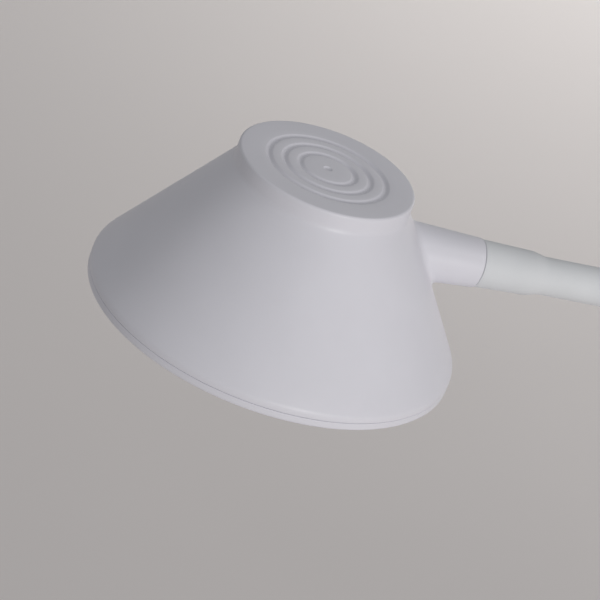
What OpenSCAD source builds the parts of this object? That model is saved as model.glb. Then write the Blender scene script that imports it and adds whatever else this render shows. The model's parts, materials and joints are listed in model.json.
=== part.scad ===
// Clip-on reading lamp: a wide cone shade on a silicone-sleeved gooseneck,
// carried by a sprung clip that holds the battery and the switch.
// Origin: centre of the upper pad's gripping face. +Z is up, the jaws and the
// shade point to -X and the squeeze handles to +X. The lamp is symmetric in Y.

/* [Shade] */
// Radius of the shade's flat top disc
shade_top_r = 26.3; // [24:0.1:30]
// Radius of the shade's rim
shade_rim_r = 55; // [46:0.5:68]
// Height from the top disc to the underside of the rim
shade_h = 51.6; // [43:0.1:64]
// Height of the straight neck below the top disc
neck_h = 5.1; // [3:0.1:6]
// Height of the straight band at the rim, bezel included
rim_band_h = 4.2; // [3.6:0.1:6]
// Wall of the shade
shade_wall = 2; // [1.6:0.1:2.4]
// Thickness of the top disc
top_t = 2.4; // [2:0.1:3]
// Rounding of the top disc's edge
top_edge_r = 0.8; // [0.5:0.1:1.2]
// Fillet where the neck flares into the cone
neck_fillet_r = 3; // [1:0.5:5]
// Rounding where the cone meets the rim band
shoulder_r = 5; // [2:0.5:6]
// Radius of the innermost ring groove
groove_first_r = 8.2; // [6:0.1:9]
// Spacing of the ring grooves
groove_pitch = 4.65; // [4:0.05:5.5]
// Number of ring grooves
groove_count = 3; // [1:1:3]
// Width of a ring groove
groove_w = 1.9; // [1:0.05:2]
// Depth of a ring groove
groove_depth = 0.65; // [0.3:0.05:0.7]

/* [Stub] */
// Depth of the stub's axis below the top disc
stub_drop = 20.1; // [17:0.1:22]
// Distance from the lamp axis to the end of the stub
stub_reach = 53.9; // [50:0.1:64]
// Radius of the stub where it leaves the cone
stub_root_r = 8.2; // [7.8:0.1:9]
// Radius of the stub's open end
stub_end_r = 7.3; // [7.1:0.05:7.7]
// Distance from the lamp axis to the nut face inside the shade
stub_seat_x = 27.5; // [26:0.1:28]

/* [Light engine] */
// Height of the separate bezel ring
bezel_h = 2.4; // [2:0.1:3]
// Width of the bezel's lip under the diffuser
bezel_lip_w = 5; // [3:0.5:7]
// Thickness of the bezel's lip
bezel_lip_t = 1.2; // [0.8:0.1:1.4]
// Thickness of the opal diffuser
diffuser_t = 1.6; // [1:0.1:2]
// Depth of the heat spreader below the top disc
spreader_drop = 31; // [30:0.5:33]
// Radius of the heat spreader
spreader_r = 30; // [28:0.5:32]
// Thickness of the heat spreader
spreader_t = 1.5; // [1:0.1:2]
// Radius of the light board
board_r = 26.5; // [25:0.5:28]
// Thickness of both circuit boards
board_t = 1.6; // [1:0.1:1.6]
// Thickness of the reflector
reflector_t = 1.2; // [0.8:0.1:1.5]
// Distance of the shade's screw posts from the lamp axis
post_ring_r = 20; // [19:0.5:20.5]

/* [Arm] */
// Radius of the silicone sleeve
sleeve_r = 5.65; // [5:0.05:6.4]
// Radius of the steel gooseneck inside the sleeve
core_r = 3.9; // [3.5:0.05:4]
// Bore of the steel gooseneck
core_bore_r = 2.4; // [2.1:0.1:2.6]
// Radius of the two-core lead
lead_r = 1.6; // [1.2:0.1:1.8]
// Length of the straight riser that bends
riser = 150; // [120:1:190]
// Distance from the start of the riser to the first bending point
first_bend = 15; // [12:0.5:20]
// Radius of the arm's curve at rest
curve_r = 90; // [70:1:120]
// Angle through which the arm curves at rest
curve_angle = 71; // [50:1:80]
// Length of the straight stretch beside each bending point of the curve
curve_lead = 6; // [5.5:0.5:12]
// Length of the straight run after the curve
run = 30; // [15:1:70]
// Radius of the sleeve's thick end beside a ferrule
boot_r = 7.05; // [6.7:0.05:7.1]
// Radius of the sleeve's thick end before its shoulder
boot_small_r = 6.6; // [6.4:0.05:6.7]
// Length of the sleeve's thick end
boot_length = 15.8; // [12:0.1:20]
// Length of the shoulder down to the sleeve
boot_shoulder = 5.5; // [2:0.5:6]
// Length of the sleeve from the stub to the run
boot_reach = 30.3; // [26:0.1:40]

/* [Ferrules] */
// Radius of the ferrules' threaded shank
ferrule_r = 4.6; // [4.3:0.05:4.7]
// Bore of the ferrules
ferrule_bore_r = 2.6; // [2.1:0.1:3]
// Radius of the ferrules' crimped end
crimp_r = 5; // [4.8:0.05:5.1]
// Length of the crimped end over the gooseneck
crimp_length = 18; // [14:0.5:22]
// Depth of the gooseneck inside the crimped end
crimp_grip = 11; // [8:0.5:12]
// Width across the flats of the ferrule nuts
nut_af = 14; // [12:0.5:14]
// Thickness of the ferrule nuts
nut_t = 3.2; // [2.5:0.1:3.5]
// Thickness of the washers
washer_t = 0.8; // [0.5:0.1:1]
// Radius of the washers
washer_r = 7.8; // [7:0.1:8]

/* [Clip housing] */
// Distance from the pad centre to the front of the clip
clip_front = 22; // [20:0.5:27]
// Distance from the pad centre to the back of the clip
clip_back = 68; // [67:0.5:82]
// Width of the clip
clip_w = 42; // [40:0.5:51]
// Height of the housing
housing_h = 22; // [20:0.5:27]
// Height of the lower shell
shell_h = 10; // [9:0.5:12]
// Wall of the housing
housing_wall = 2; // [1.5:0.1:2.2]
// Corner radius of the housing seen from above
corner_r = 12; // [10:0.5:14]
// Rounding of the housing's top edge
top_round = 5; // [2.5:0.5:6]
// Rounding of the housing's bottom edge
bottom_round = 2.5; // [2.1:0.1:4]
// Height of the collar round the arm
collar_h = 9; // [6:0.5:12]
// Radius of the collar at its foot
collar_foot_r = 11; // [9:0.5:13]
// Number of grip grooves on the thumb rest
grip_count = 5; // [3:1:5]

/* [Jaws] */
// Length of a rubber pad
pad_l = 34; // [28:0.5:36]
// Width of a rubber pad
pad_w = 30; // [25:0.5:34]
// Thickness of a rubber pad
pad_t = 3; // [2.4:0.1:4]
// Depth of a pad's recess
pad_recess = 1; // [0.8:0.1:1.2]
// Gap between the pads when the clip is closed on its stop
pad_gap = 2.2; // [2.1:0.1:3]
// Distance from the pad centre back to the hinge pin
pivot_x = 36; // [34:0.5:38]
// Depth of the hinge pin below the upper pad's face
pivot_drop = 6; // [5.6:0.1:7.2]
// Radius of the hinge pin
pin_r = 2.5; // [2:0.1:3]
// Radius of the lugs and ears round the pin
ear_r = 7; // [6:0.1:7]
// Thickness of a lug
lug_t = 4; // [3:0.1:4.5]
// Thickness of an ear
ear_t = 4; // [3:0.1:4.5]
// Inner face of each lug, from the middle
lug_y = 10; // [9.5:0.1:11]
// Thickness of the lower jaw's plate
jaw_t = 4; // [3:0.1:4.5]
// Outer radius of the barrel under the pin
barrel_r = 11; // [10:0.1:12]
// Thickness of the squeeze plate
handle_t = 3.5; // [2.5:0.1:4]
// Length of the squeeze plate from the pin
handle_l = 36; // [33:0.5:43]
// Slope of the squeeze plate at rest
handle_tilt = 20; // [16:1:24]

/* [Spring] */
// Mean radius of the spring's coil
coil_r = 4.6; // [4.2:0.1:4.8]
// Diameter of the spring wire
wire_d = 1.4; // [1:0.1:1.5]
// Full turns in the coil
coil_turns = 5; // [3:1:6]
// Length of the coil along the pin
coil_length = 15; // [10:0.5:17]
// Length of each leg of the spring
leg_length = 19; // [14:0.5:20]

/* [Electronics] */
// Length of the battery
battery_l = 50; // [42:0.5:51]
// Width of the battery
battery_w = 22; // [20:0.5:22.5]
// Thickness of the battery
battery_t = 7; // [5:0.1:7.2]
// Radius of the power button
button_r = 6; // [5:0.1:6.5]
// Travel of the power button, and its height above the housing
button_travel = 0.8; // [0.5:0.05:1]
// Distance from the arm to the power button
button_x = 24; // [23:0.5:26]
// Distance from the arm to the status light
status_x = 38; // [36:0.5:42]

/* [Clearances] */
// Gap between pieces that bolt or press together
fit_gap = 0.1; // [0.05:0.01:0.15]
// Running clearance of the hinge on its pin, per side
pin_gap = 0.06; // [0.02:0.01:0.1]
// Gap between parts that move past each other
move_gap = 0.3; // [0.25:0.05:0.4]

/* [Hidden] */
$fn = 72;
eps = 0.01;
SEGMENTS = 7;

function arc(c, r, a0, a1, n) =
    [for (i = [0:n]) let (a = a0 + (a1 - a0) * i / n) c + r * [cos(a), sin(a)]];

// Shade outline, as [radius, height], with the top disc at height 0.
band_top = shade_h - rim_band_h;
seam_h = shade_h - bezel_h;
cone_run = shade_rim_r - shade_top_r;
cone_rise = band_top - neck_h;
flare = atan(cone_run / cone_rise);
slant_wall = shade_wall / cos(flare);
fillet_set = neck_fillet_r * tan(flare / 2);
shoulder_set = min(shoulder_r * tan(flare / 2), rim_band_h - bezel_h);
shoulder_true = shoulder_set / tan(flare / 2);
groove_cut_r = (pow(groove_w / 2, 2) + pow(groove_depth, 2)) / (2 * groove_depth);
function cone_r(h) = shade_top_r + (h - neck_h) * tan(flare);
function cone_inner_r(h) = cone_r(h) - slant_wall;
neck_inner_h = neck_h + shade_wall * (1 / cos(flare) - 1) / tan(flare);
band_inner_h = band_top + shade_wall * (1 / cos(flare) - 1) / tan(flare);

// Light engine, by depth below the top disc.
board_h = spreader_drop + spreader_t;
chip_h = board_h + board_t;
chip_t = 0.7;
chip_w = 2.8;
lip_top = shade_h - bezel_lip_t;
diffuser_h = lip_top - diffuser_t;
skirt_r = shade_rim_r - shade_wall - 2 * fit_gap;
skirt_t = 1.2;
skirt_top = max(band_inner_h, seam_h - 1) + fit_gap;
diffuser_r = skirt_r - skirt_t - fit_gap;
reflector_small_r = board_r + 1;
post_r = 3;
post_angles = [60, 180, 300];
outer_chips = 12;
inner_chips = 6;
outer_chip_r = board_r - 2.6;
inner_chip_r = 12;
screw_r = 1.2;
screw_head_r = 2.4;
screw_head_t = 1.4;
screw_grip = 6;

// Arm. The riser stands over the pad centre, then curves to -X.
base_z = pad_t - pad_recess;
roof_z = base_z + housing_h;
split_z = base_z + shell_h;
riser_z = roof_z + collar_h + boot_length + boot_shoulder + 2;
last_straight = 4;
bend_pitch = (riser - first_bend) / (last_straight - 1);
curve_z = riser_z + riser;
first_z = riser_z + first_bend;
boot_foot = roof_z + collar_h + 2 * fit_gap;
boot_tip = stub_reach + 2 * fit_gap;
core_foot = roof_z + collar_h + fit_gap + crimp_length - crimp_grip;
core_tip = stub_reach + fit_gap + crimp_length - crimp_grip;
head_tilt = 90 - curve_angle;
head_reach = run + boot_reach + stub_reach;
half_curve = curve_angle / 2;
function heading(a) = [-sin(a), cos(a)];
function curve_step(a) = curve_lead * (heading(a) + heading(a + half_curve))
    + curve_r * [cos(a + half_curve) - cos(a), sin(a + half_curve) - sin(a)];
head_place = [0, curve_z] + curve_step(0) + curve_step(half_curve) + head_reach * heading(curve_angle);
knuckle_r = sleeve_r - 0.15;
arc_overlap = 1;
arc_step = 0.04;
socket_r = knuckle_r + 0.35;
sleeve_bore_r = core_r + fit_gap;
crimp_bore_r = core_r + fit_gap;
boot_bore_r = crimp_r + fit_gap;
ferrule_inner_end = stub_seat_x - washer_t - nut_t - 2;
elbow_r = 8;
elbow_x = 6;
lead_hole_r = lead_r + 0.6;

// Clip.
pivot_z = -pivot_drop;
floor_z = base_z + housing_wall;
ceiling_z = roof_z - housing_wall;
front_screw = [pad_l / 2 + 5, clip_w / 2 - 5.5];
rear_screw = [clip_back - 8, clip_w / 2 - 8];
screw_places = [for (p = [front_screw, rear_screw], s = [1, -1]) [p.x, s * p.y]];
case_screw_head_z = base_z + 1.5;
case_screw_len = 14;
case_screw_top = case_screw_head_z + screw_head_t + case_screw_len;
case_boss_r = 3;
case_foot_r = 4;
jaw_top = -pad_gap - pad_t + pad_recess;
ear_in = lug_y + lug_t + move_gap + 0.1;
ear_out = ear_in + ear_t;
jaw_back = pivot_x - ear_r - 2;
handle_top = -coil_r - wire_d / 2 - fit_gap;
barrel_meet = asin(-handle_top / (ear_r + move_gap));
pin_out = ear_out + move_gap;
pin_head_r = 4;
pin_head_t = 1.2;
clip_ring_r = 4.2;
clip_ring_t = 0.6;
grip_pitch = 3.4;
grip_w = 18;
grip_x = clip_back - 6;

// Electronics.
battery_x = 2;
battery_z = floor_z + 0.3;
pcb_x0 = -9;
pcb_w = 19;
pcb_z = battery_z + battery_t + 2;
pcb_top = pcb_z + board_t;
pcb_posts = [13.5, 50];
pcb_post_r = 2.5;
pcb_screw_r = 0.95;
pcb_screw_head_t = 1.2;
usb_l = 7.3;
usb_w = 9;
usb_h = 3.2;
usb_x = clip_back - usb_l - 0.3;
usb_wall = 0.35;
pcb_x1 = usb_x + 1.1;
button_flange_r = button_r + 1.2;
button_low = ceiling_z - 1.5;
lens_r = 1.2;
switch_w = 6;

// ---- placing ----

// Head frame: z = 0 is the top disc, +X runs along the stub to the arm.
module in_head() {
    translate([head_place[0], 0, head_place[1]]) rotate([0, head_tilt, 0])
        translate([0, 0, stub_drop]) children();
}

// Stub frame: z runs out along the stub from the lamp axis, and x points down.
module on_stub() {
    translate([head_place[0], 0, head_place[1]]) rotate([0, head_tilt + 90, 0]) children();
}

// From the start of a curved link to the end of its arc, z along the arm.
module round_arc() {
    translate([-curve_r, 0, curve_lead]) rotate([0, -half_curve, 0]) translate([curve_r, 0, 0]) children();
}

// Bending point k of the arm, 1 nearest the clip, with z towards the shade.
module at_bend(k) {
    if (k <= last_straight) translate([0, 0, riser_z + first_bend + (k - 1) * bend_pitch]) children();
    else at_bend(k - 1) round_arc() translate([0, 0, curve_lead]) children();
}

// ---- shade ----

function shade_outline() = concat(
    [[0, 0]],
    arc([shade_top_r - top_edge_r, -top_edge_r], top_edge_r, 90, 0, 4),
    arc([shade_top_r + neck_fillet_r, -neck_h + fillet_set], neck_fillet_r, 180, 180 + flare, 4),
    arc([shade_rim_r - shoulder_true, -band_top - shoulder_set], shoulder_true, flare, 0, 5),
    [[shade_rim_r, -seam_h], [0, -seam_h]]
);

module shade_body() {
    difference() {
        rotate_extrude() difference() {
            polygon(shade_outline());
            for (i = [0:groove_count - 1])
                translate([groove_first_r + i * groove_pitch, groove_cut_r - groove_depth])
                    circle(groove_cut_r, $fn = 36);
            polygon([
                [0, -top_t], [shade_top_r - shade_wall, -top_t],
                [shade_top_r - shade_wall, -neck_inner_h],
                [shade_rim_r - shade_wall, -band_inner_h],
                [shade_rim_r - shade_wall, -shade_h], [0, -shade_h]
            ]);
        }
        translate([0, 0, 0.75]) sphere(1.25, $fn = 36);
    }
}

module shade() {
    color("gainsboro") in_head() difference() {
        union() {
            shade_body();
            for (a = post_angles)
                rotate(a) translate([post_ring_r, 0, -spreader_drop])
                    cylinder(r = post_r, h = spreader_drop - top_t + eps);
            translate([stub_seat_x, 0, -stub_drop]) rotate([0, 90, 0])
                cylinder(r1 = stub_root_r + 0.5, r2 = stub_end_r, h = stub_reach - stub_seat_x);
        }
        translate([0, 0, -stub_drop]) rotate([0, 90, 0])
            cylinder(r = ferrule_r + fit_gap, h = stub_reach + 1);
        for (a = post_angles)
            rotate(a) translate([post_ring_r, 0, -spreader_drop - 1])
                cylinder(r = screw_r + 0.05, h = screw_grip + 1.5);
    }
}

module diffuser_bezel() {
    lip_r = shade_rim_r - bezel_lip_w;
    edge = 0.5;
    color("whitesmoke") in_head() rotate_extrude() polygon([
        [lip_r, -lip_top], [lip_r, -shade_h], [shade_rim_r - edge, -shade_h],
        [shade_rim_r, -shade_h + edge], [shade_rim_r, -seam_h], [skirt_r, -seam_h],
        [skirt_r, -skirt_top], [skirt_r - skirt_t, -skirt_top], [skirt_r - skirt_t, -lip_top]
    ]);
}

module diffuser() {
    color("white") in_head() translate([0, 0, -lip_top]) cylinder(r = diffuser_r, h = diffuser_t);
}

module reflector() {
    low = diffuser_h - reflector_t;
    outer = diffuser_r - 2;
    color("white") in_head() rotate_extrude() polygon([
        [reflector_small_r, -chip_h], [reflector_small_r + reflector_t, -chip_h],
        [outer, -low + fit_gap], [diffuser_r - fit_gap, -low + fit_gap],
        [diffuser_r - fit_gap, -diffuser_h], [outer - reflector_t, -diffuser_h]
    ]);
}

module post_holes(h0, h1, r) {
    for (a = post_angles)
        rotate(a) translate([post_ring_r, 0, -h1]) cylinder(r = r, h = h1 - h0);
}

module heat_spreader() {
    color("silver") in_head() difference() {
        translate([0, 0, -board_h]) cylinder(r = spreader_r, h = spreader_t);
        post_holes(spreader_drop - 1, board_h + 1, screw_r + 0.2);
        translate([elbow_x, 0, -board_h - 1]) cylinder(r = lead_hole_r, h = spreader_t + 2);
    }
}

module led_board() {
    color("ivory") in_head() difference() {
        translate([0, 0, -chip_h]) cylinder(r = board_r, h = board_t);
        post_holes(board_h - 1, chip_h + 1, screw_r + 0.2);
        translate([elbow_x, 0, -chip_h - 1]) cylinder(r = lead_hole_r, h = board_t + 2);
    }
}

module chip_ring(count, ring_r) {
    for (i = [0:count - 1])
        rotate(360 * (i + 0.5) / count) translate([ring_r, 0, -chip_h - chip_t / 2])
            cube([chip_w, chip_w, chip_t], center = true);
}

module led_chips() {
    color("khaki") in_head() {
        chip_ring(outer_chips, outer_chip_r);
        chip_ring(inner_chips, inner_chip_r);
    }
}

module light_screws() {
    color("silver") in_head() for (a = post_angles)
        rotate(a) translate([post_ring_r, 0, -chip_h - screw_head_t]) {
            cylinder(r = screw_r, h = screw_head_t + board_t + spreader_t + screw_grip);
            cylinder(r = screw_head_r, h = screw_head_t);
        }
}

// ---- ferrules ----

// A ferrule with z pointing from its thread to its crimped end.
module ferrule(shank_from, crimp_from) {
    difference() {
        union() {
            translate([0, 0, shank_from]) cylinder(r = ferrule_r, h = crimp_from - shank_from + eps);
            translate([0, 0, crimp_from]) cylinder(r = crimp_r, h = crimp_length);
        }
        translate([0, 0, shank_from - 1]) cylinder(r = ferrule_bore_r, h = 200);
        translate([0, 0, crimp_from + crimp_length - crimp_grip])
            cylinder(r = crimp_bore_r, h = crimp_grip + 1);
    }
}

module nut() {
    difference() {
        cylinder(d = nut_af / cos(30), h = nut_t, $fn = 6);
        translate([0, 0, -1]) cylinder(r = ferrule_r + fit_gap, h = nut_t + 2);
    }
}

module washer() {
    difference() {
        cylinder(r = washer_r, h = washer_t);
        translate([0, 0, -1]) cylinder(r = ferrule_r + fit_gap, h = washer_t + 2);
    }
}

module head_ferrule() {
    color("darkgray") on_stub() ferrule(ferrule_inner_end, stub_reach + fit_gap);
}

module head_washer() {
    color("silver") on_stub() translate([0, 0, stub_seat_x - washer_t]) washer();
}

module head_nut() {
    color("silver") on_stub() translate([0, 0, stub_seat_x - washer_t - nut_t]) nut();
}

module base_ferrule() {
    color("darkgray") ferrule(ceiling_z - washer_t - nut_t - 1.2, roof_z + collar_h + fit_gap);
}

module base_washer() {
    color("silver") translate([0, 0, ceiling_z - washer_t]) washer();
}

module base_nut() {
    color("silver") translate([0, 0, ceiling_z - washer_t - nut_t]) nut();
}

// ---- arm ----

// A rod of radius r along link k, between its two bending points. A curved
// link has straight ends of radius r + step that reach a little into its arc.
module link_rod(k, r, step) {
    if (k <= last_straight) at_bend(k - 1) cylinder(r = r, h = bend_pitch);
    else {
        at_bend(k - 1) {
            cylinder(r = r + step, h = curve_lead + arc_overlap);
            translate([-curve_r, 0, curve_lead]) rotate([90, 0, 0])
                rotate_extrude(angle = half_curve) translate([curve_r, 0]) circle(r);
        }
        at_bend(k) translate([0, 0, -curve_lead - arc_overlap])
            cylinder(r = r + step, h = curve_lead + arc_overlap);
    }
}

// The rounded knuckle at bending point k, and the bore through it.
module knuckle(k, r) {
    at_bend(k) intersection() {
        sphere(knuckle_r);
        cylinder(r = r, h = knuckle_r + 1);
    }
}

module knuckle_bore(k, r) {
    at_bend(k) translate([0, 0, -1]) cylinder(r = r, h = knuckle_r + 2);
}

// Space round the knuckle of the link before.
module socket(k) {
    at_bend(k - 1) sphere(socket_r);
}

// Outline of a sleeve that ends over a ferrule, length measured from its foot.
module boot_outline(length) {
    polygon([
        [boot_bore_r, 0], [boot_r, 0], [boot_small_r, boot_length],
        [sleeve_r, boot_length + boot_shoulder], [sleeve_r, length], [sleeve_bore_r, length],
        [sleeve_bore_r, crimp_length + fit_gap], [boot_bore_r, crimp_length + fit_gap]
    ]);
}

module tube(r, bore, z0, z1) {
    difference() {
        translate([0, 0, z0]) cylinder(r = r, h = z1 - z0);
        translate([0, 0, z0 - 1]) cylinder(r = bore, h = z1 - z0 + 2);
    }
}

module arm_sleeve(k) {
    color("whitesmoke") {
        if (k == 1) {
            translate([0, 0, boot_foot]) rotate_extrude() boot_outline(first_z - boot_foot);
            difference() {
                knuckle(k, sleeve_r + 1);
                knuckle_bore(k, sleeve_bore_r);
            }
        } else if (k < SEGMENTS) difference() {
            union() {
                link_rod(k, sleeve_r, -arc_step);
                knuckle(k, sleeve_r + 1);
            }
            link_rod(k, sleeve_bore_r, arc_step);
            knuckle_bore(k, sleeve_bore_r + arc_step);
            socket(k);
        } else on_stub() difference() {
            translate([0, 0, boot_tip]) rotate_extrude() boot_outline(head_reach - boot_tip);
            translate([0, 0, head_reach]) sphere(socket_r);
        }
    }
}

module arm_core(k) {
    color("slategray") {
        if (k == 1) {
            tube(core_r, core_bore_r, core_foot, first_z);
            difference() {
                knuckle(k, core_r);
                knuckle_bore(k, core_bore_r);
            }
        } else if (k < SEGMENTS) difference() {
            union() {
                link_rod(k, core_r, -arc_step);
                knuckle(k, core_r - arc_step);
            }
            link_rod(k, core_bore_r, arc_step);
            knuckle_bore(k, core_bore_r + arc_step);
            socket(k);
        } else on_stub() difference() {
            tube(core_r, core_bore_r, core_tip, head_reach);
            translate([0, 0, head_reach]) sphere(socket_r);
        }
    }
}

// The lead runs from the control board to the light board, where an elbow
// turns it down through the heat spreader.
module arm_lead(k) {
    color("dimgray") {
        if (k == 1) {
            translate([0, 0, pcb_top]) cylinder(r = lead_r, h = first_z - pcb_top);
            knuckle(k, lead_r);
        } else if (k < SEGMENTS) difference() {
            union() {
                link_rod(k, lead_r, -arc_step);
                knuckle(k, lead_r - arc_step);
            }
            socket(k);
        } else on_stub() {
            difference() {
                translate([0, 0, elbow_x + elbow_r])
                    cylinder(r = lead_r, h = head_reach - elbow_x - elbow_r);
                translate([0, 0, head_reach]) sphere(socket_r);
            }
            translate([elbow_r, 0, elbow_x + elbow_r]) rotate([90, 0, 0]) rotate(180)
                rotate_extrude(angle = 90) translate([elbow_r, 0]) circle(lead_r);
            translate([elbow_r, 0, elbow_x]) rotate([0, 90, 0])
                cylinder(r = lead_r, h = chip_h - stub_drop - elbow_r);
        }
    }
}

// ---- clip housing ----

// A slab with rounded corners and rounded top and bottom edges, shrunk by inset.
module pebble(inset) {
    low = bottom_round - inset;
    high = top_round - inset;
    r = corner_r - inset;
    hull() for (x = [corner_r - clip_front, clip_back - corner_r], y = [-1, 1] * (clip_w / 2 - corner_r))
        translate([x, y, 0]) {
            translate([0, 0, base_z + inset + low])
                rotate_extrude($fn = 32) translate([r - low, 0]) circle(low, $fn = 16);
            translate([0, 0, roof_z - inset - high])
                rotate_extrude($fn = 32) translate([r - high, 0]) circle(high, $fn = 32);
        }
}

module slab_part(z0, z1, inset) {
    intersection() {
        pebble(inset);
        translate([-clip_front - 1, -clip_w / 2 - 1, z0])
            cube([clip_front + clip_back + 2, clip_w + 2, z1 - z0]);
    }
}

module pad_shape(gap, h) {
    r = 3;
    x = pad_l / 2 + gap;
    y = pad_w / 2 + gap;
    linear_extrude(h) union() {
        square([2 * x, 2 * (y - r)], center = true);
        square([2 * (x - r), 2 * y], center = true);
        for (i = [-1, 1], j = [-1, 1]) translate([i * (x - r), j * (y - r)]) circle(r);
    }
}

// A cylinder along Y round the hinge axis, between y0 and y1.
module along_pin(r, y0, y1) {
    translate([pivot_x, y1, pivot_z]) rotate([90, 0, 0]) cylinder(r = r, h = y1 - y0);
}

module clip_base() {
    color("gainsboro") difference() {
        union() {
            difference() {
                slab_part(base_z, split_z, 0);
                slab_part(base_z - 1, split_z + 1, housing_wall);
            }
            for (p = screw_places)
                translate([p.x, p.y, floor_z - eps]) cylinder(r = case_foot_r, h = split_z - floor_z);
            for (s = [-1, 1]) {
                y0 = s > 0 ? lug_y : -lug_y - lug_t;
                along_pin(ear_r, y0, y0 + lug_t);
                translate([pivot_x - ear_r, y0, pivot_z]) cube([2 * ear_r, lug_t, base_z - pivot_z + 1]);
            }
        }
        translate([0, 0, base_z - eps]) pad_shape(fit_gap, pad_recess + eps);
        along_pin(pin_r + fit_gap / 2, -clip_w / 2, clip_w / 2);
        for (p = screw_places) translate([p.x, p.y, 0]) {
            translate([0, 0, base_z - 1])
                cylinder(r = screw_head_r + 0.3, h = case_screw_head_z + screw_head_t - base_z + 1);
            cylinder(r = screw_r + 0.2, h = split_z + 1);
        }
    }
}

module usb_slot(w, h, l) {
    rotate([0, 90, 0]) linear_extrude(l) union() {
        square([h, w - h], center = true);
        for (s = [-1, 1]) translate([0, s * (w - h) / 2]) circle(h / 2);
    }
}

module clip_cover() {
    color("gainsboro") difference() {
        union() {
            difference() {
                slab_part(split_z, roof_z, 0);
                slab_part(split_z - 1, roof_z, housing_wall);
            }
            for (p = screw_places)
                translate([p.x, p.y, split_z]) cylinder(r = case_boss_r, h = ceiling_z - split_z + eps);
            for (x = pcb_posts)
                translate([x, 0, pcb_top]) cylinder(r = pcb_post_r, h = ceiling_z - pcb_top + eps);
        }
        for (p = screw_places)
            translate([p.x, p.y, split_z - 1])
                cylinder(r = screw_r + 0.05, h = case_screw_top + 0.5 - split_z + 1);
        for (x = pcb_posts)
            translate([x, 0, pcb_top - 1]) cylinder(r = pcb_screw_r + 0.05, h = 5.5);
        translate([0, 0, ceiling_z - 1]) cylinder(r = ferrule_r + fit_gap, h = housing_wall + 2);
        translate([button_x, 0, ceiling_z - 1]) cylinder(r = button_r + move_gap, h = housing_wall + 2);
        translate([status_x, 0, ceiling_z - 1]) cylinder(r = lens_r + fit_gap / 2, h = housing_wall + 2);
        translate([usb_x - 1, 0, pcb_top + usb_h / 2]) usb_slot(usb_w + 0.4, usb_h + 0.4, 12);
        for (i = [0:grip_count - 1])
            translate([grip_x - i * grip_pitch, grip_w / 2, roof_z + 0.6])
                rotate([90, 0, 0]) cylinder(r = 1.1, h = grip_w);
    }
}

module grooved_pad() {
    difference() {
        pad_shape(0, pad_t);
        for (i = [-1, 1], j = [1:3])
            translate([i * j * 4 - 0.6, -pad_w / 2 - 1, -1]) cube([1.2, pad_w + 2, 1.7]);
    }
}

module upper_pad() {
    color("lightgray") grooved_pad();
}

module lower_pad() {
    color("lightgray") translate([0, 0, -pad_gap]) mirror([0, 0, 1]) grooved_pad();
}

module case_screws() {
    color("silver") for (p = screw_places) translate([p.x, p.y, case_screw_head_z]) {
        cylinder(r = screw_head_r, h = screw_head_t);
        cylinder(r = screw_r, h = screw_head_t + case_screw_len);
    }
}

module arm_collar() {
    foot = 1.5;
    color("gainsboro") translate([0, 0, roof_z]) difference() {
        rotate_extrude() polygon([
            [0, 0], [collar_foot_r, 0], [collar_foot_r, foot],
            [stub_end_r + 0.6, collar_h - 1], [stub_end_r, collar_h], [0, collar_h]
        ]);
        translate([0, 0, -1]) cylinder(r = ferrule_r + fit_gap, h = collar_h + 2);
    }
}

// ---- jaw ----

// Outline of one cheek of the lower jaw, with the pin at the origin.
module cheek() {
    front = -pivot_x - clip_front;
    top = jaw_top - pivot_z;
    difference() {
        union() {
            circle(ear_r);
            intersection() {
                circle(barrel_r);
                polygon([[-barrel_r, top - jaw_t], [0, 0], [barrel_r * 1.2, -barrel_r * 0.3],
                    [barrel_r, -2 * barrel_r], [-barrel_r, -2 * barrel_r]]);
            }
            polygon([[front, top], [-ear_r, top], [0, 0], [-barrel_r * 0.5, -barrel_r * 0.86],
                [front + 12, top - jaw_t - 1.5], [front, top - jaw_t]]);
            rotate(-handle_tilt) polygon([[0, ear_r - 0.6], [handle_l, handle_top + 1.5],
                [handle_l, handle_top - handle_t], [0, 1 - barrel_r]]);
        }
        circle(pin_r + pin_gap);
    }
}

module jaw_upright(y0, y1) {
    translate([pivot_x, y1, pivot_z]) rotate([90, 0, 0]) linear_extrude(y1 - y0) children();
}

// Ring sector that joins the jaw plate to the squeeze plate under the pin.
module barrel() {
    jaw_upright(-ear_in - 1, ear_in + 1) difference() {
        intersection() {
            circle(barrel_r - 0.1);
            polygon([[-2 * barrel_r, jaw_top - pivot_z - jaw_t * 0.5], [0, 0],
                2 * barrel_r * [cos(handle_tilt + barrel_meet), -sin(handle_tilt + barrel_meet)],
                [0, -3 * barrel_r], [-3 * barrel_r, -3 * barrel_r]]);
        }
        circle(ear_r + move_gap);
    }
}

module jaw_plan() {
    r = 9;
    x0 = -clip_front;
    x1 = clip_back;
    translate([0, 0, -80]) linear_extrude(160) union() {
        translate([x0 + r, -ear_out]) square([x1 - x0 - 2 * r, 2 * ear_out]);
        translate([x0, r - ear_out]) square([x1 - x0, 2 * (ear_out - r)]);
        for (x = [x0 + r, x1 - r], y = [-1, 1] * (ear_out - r)) translate([x, y]) circle(r);
    }
}

module lower_jaw() {
    color("gainsboro") difference() {
        intersection() {
            union() {
                for (y = [-ear_out, ear_in]) jaw_upright(y, y + ear_t) cheek();
                translate([-clip_front, -ear_out, jaw_top - jaw_t])
                    cube([clip_front + jaw_back, 2 * ear_out, jaw_t]);
                translate([pivot_x, 0, pivot_z]) rotate([0, handle_tilt, 0])
                    translate([ear_r + move_gap - 2, -ear_out, handle_top - handle_t])
                        cube([handle_l - ear_r - move_gap + 2, 2 * ear_out, handle_t]);
                barrel();
            }
            jaw_plan();
        }
        translate([0, 0, jaw_top + eps]) mirror([0, 0, 1]) pad_shape(fit_gap, pad_recess + eps);
        along_pin(ear_r + move_gap, -ear_in, ear_in);
    }
}

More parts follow.
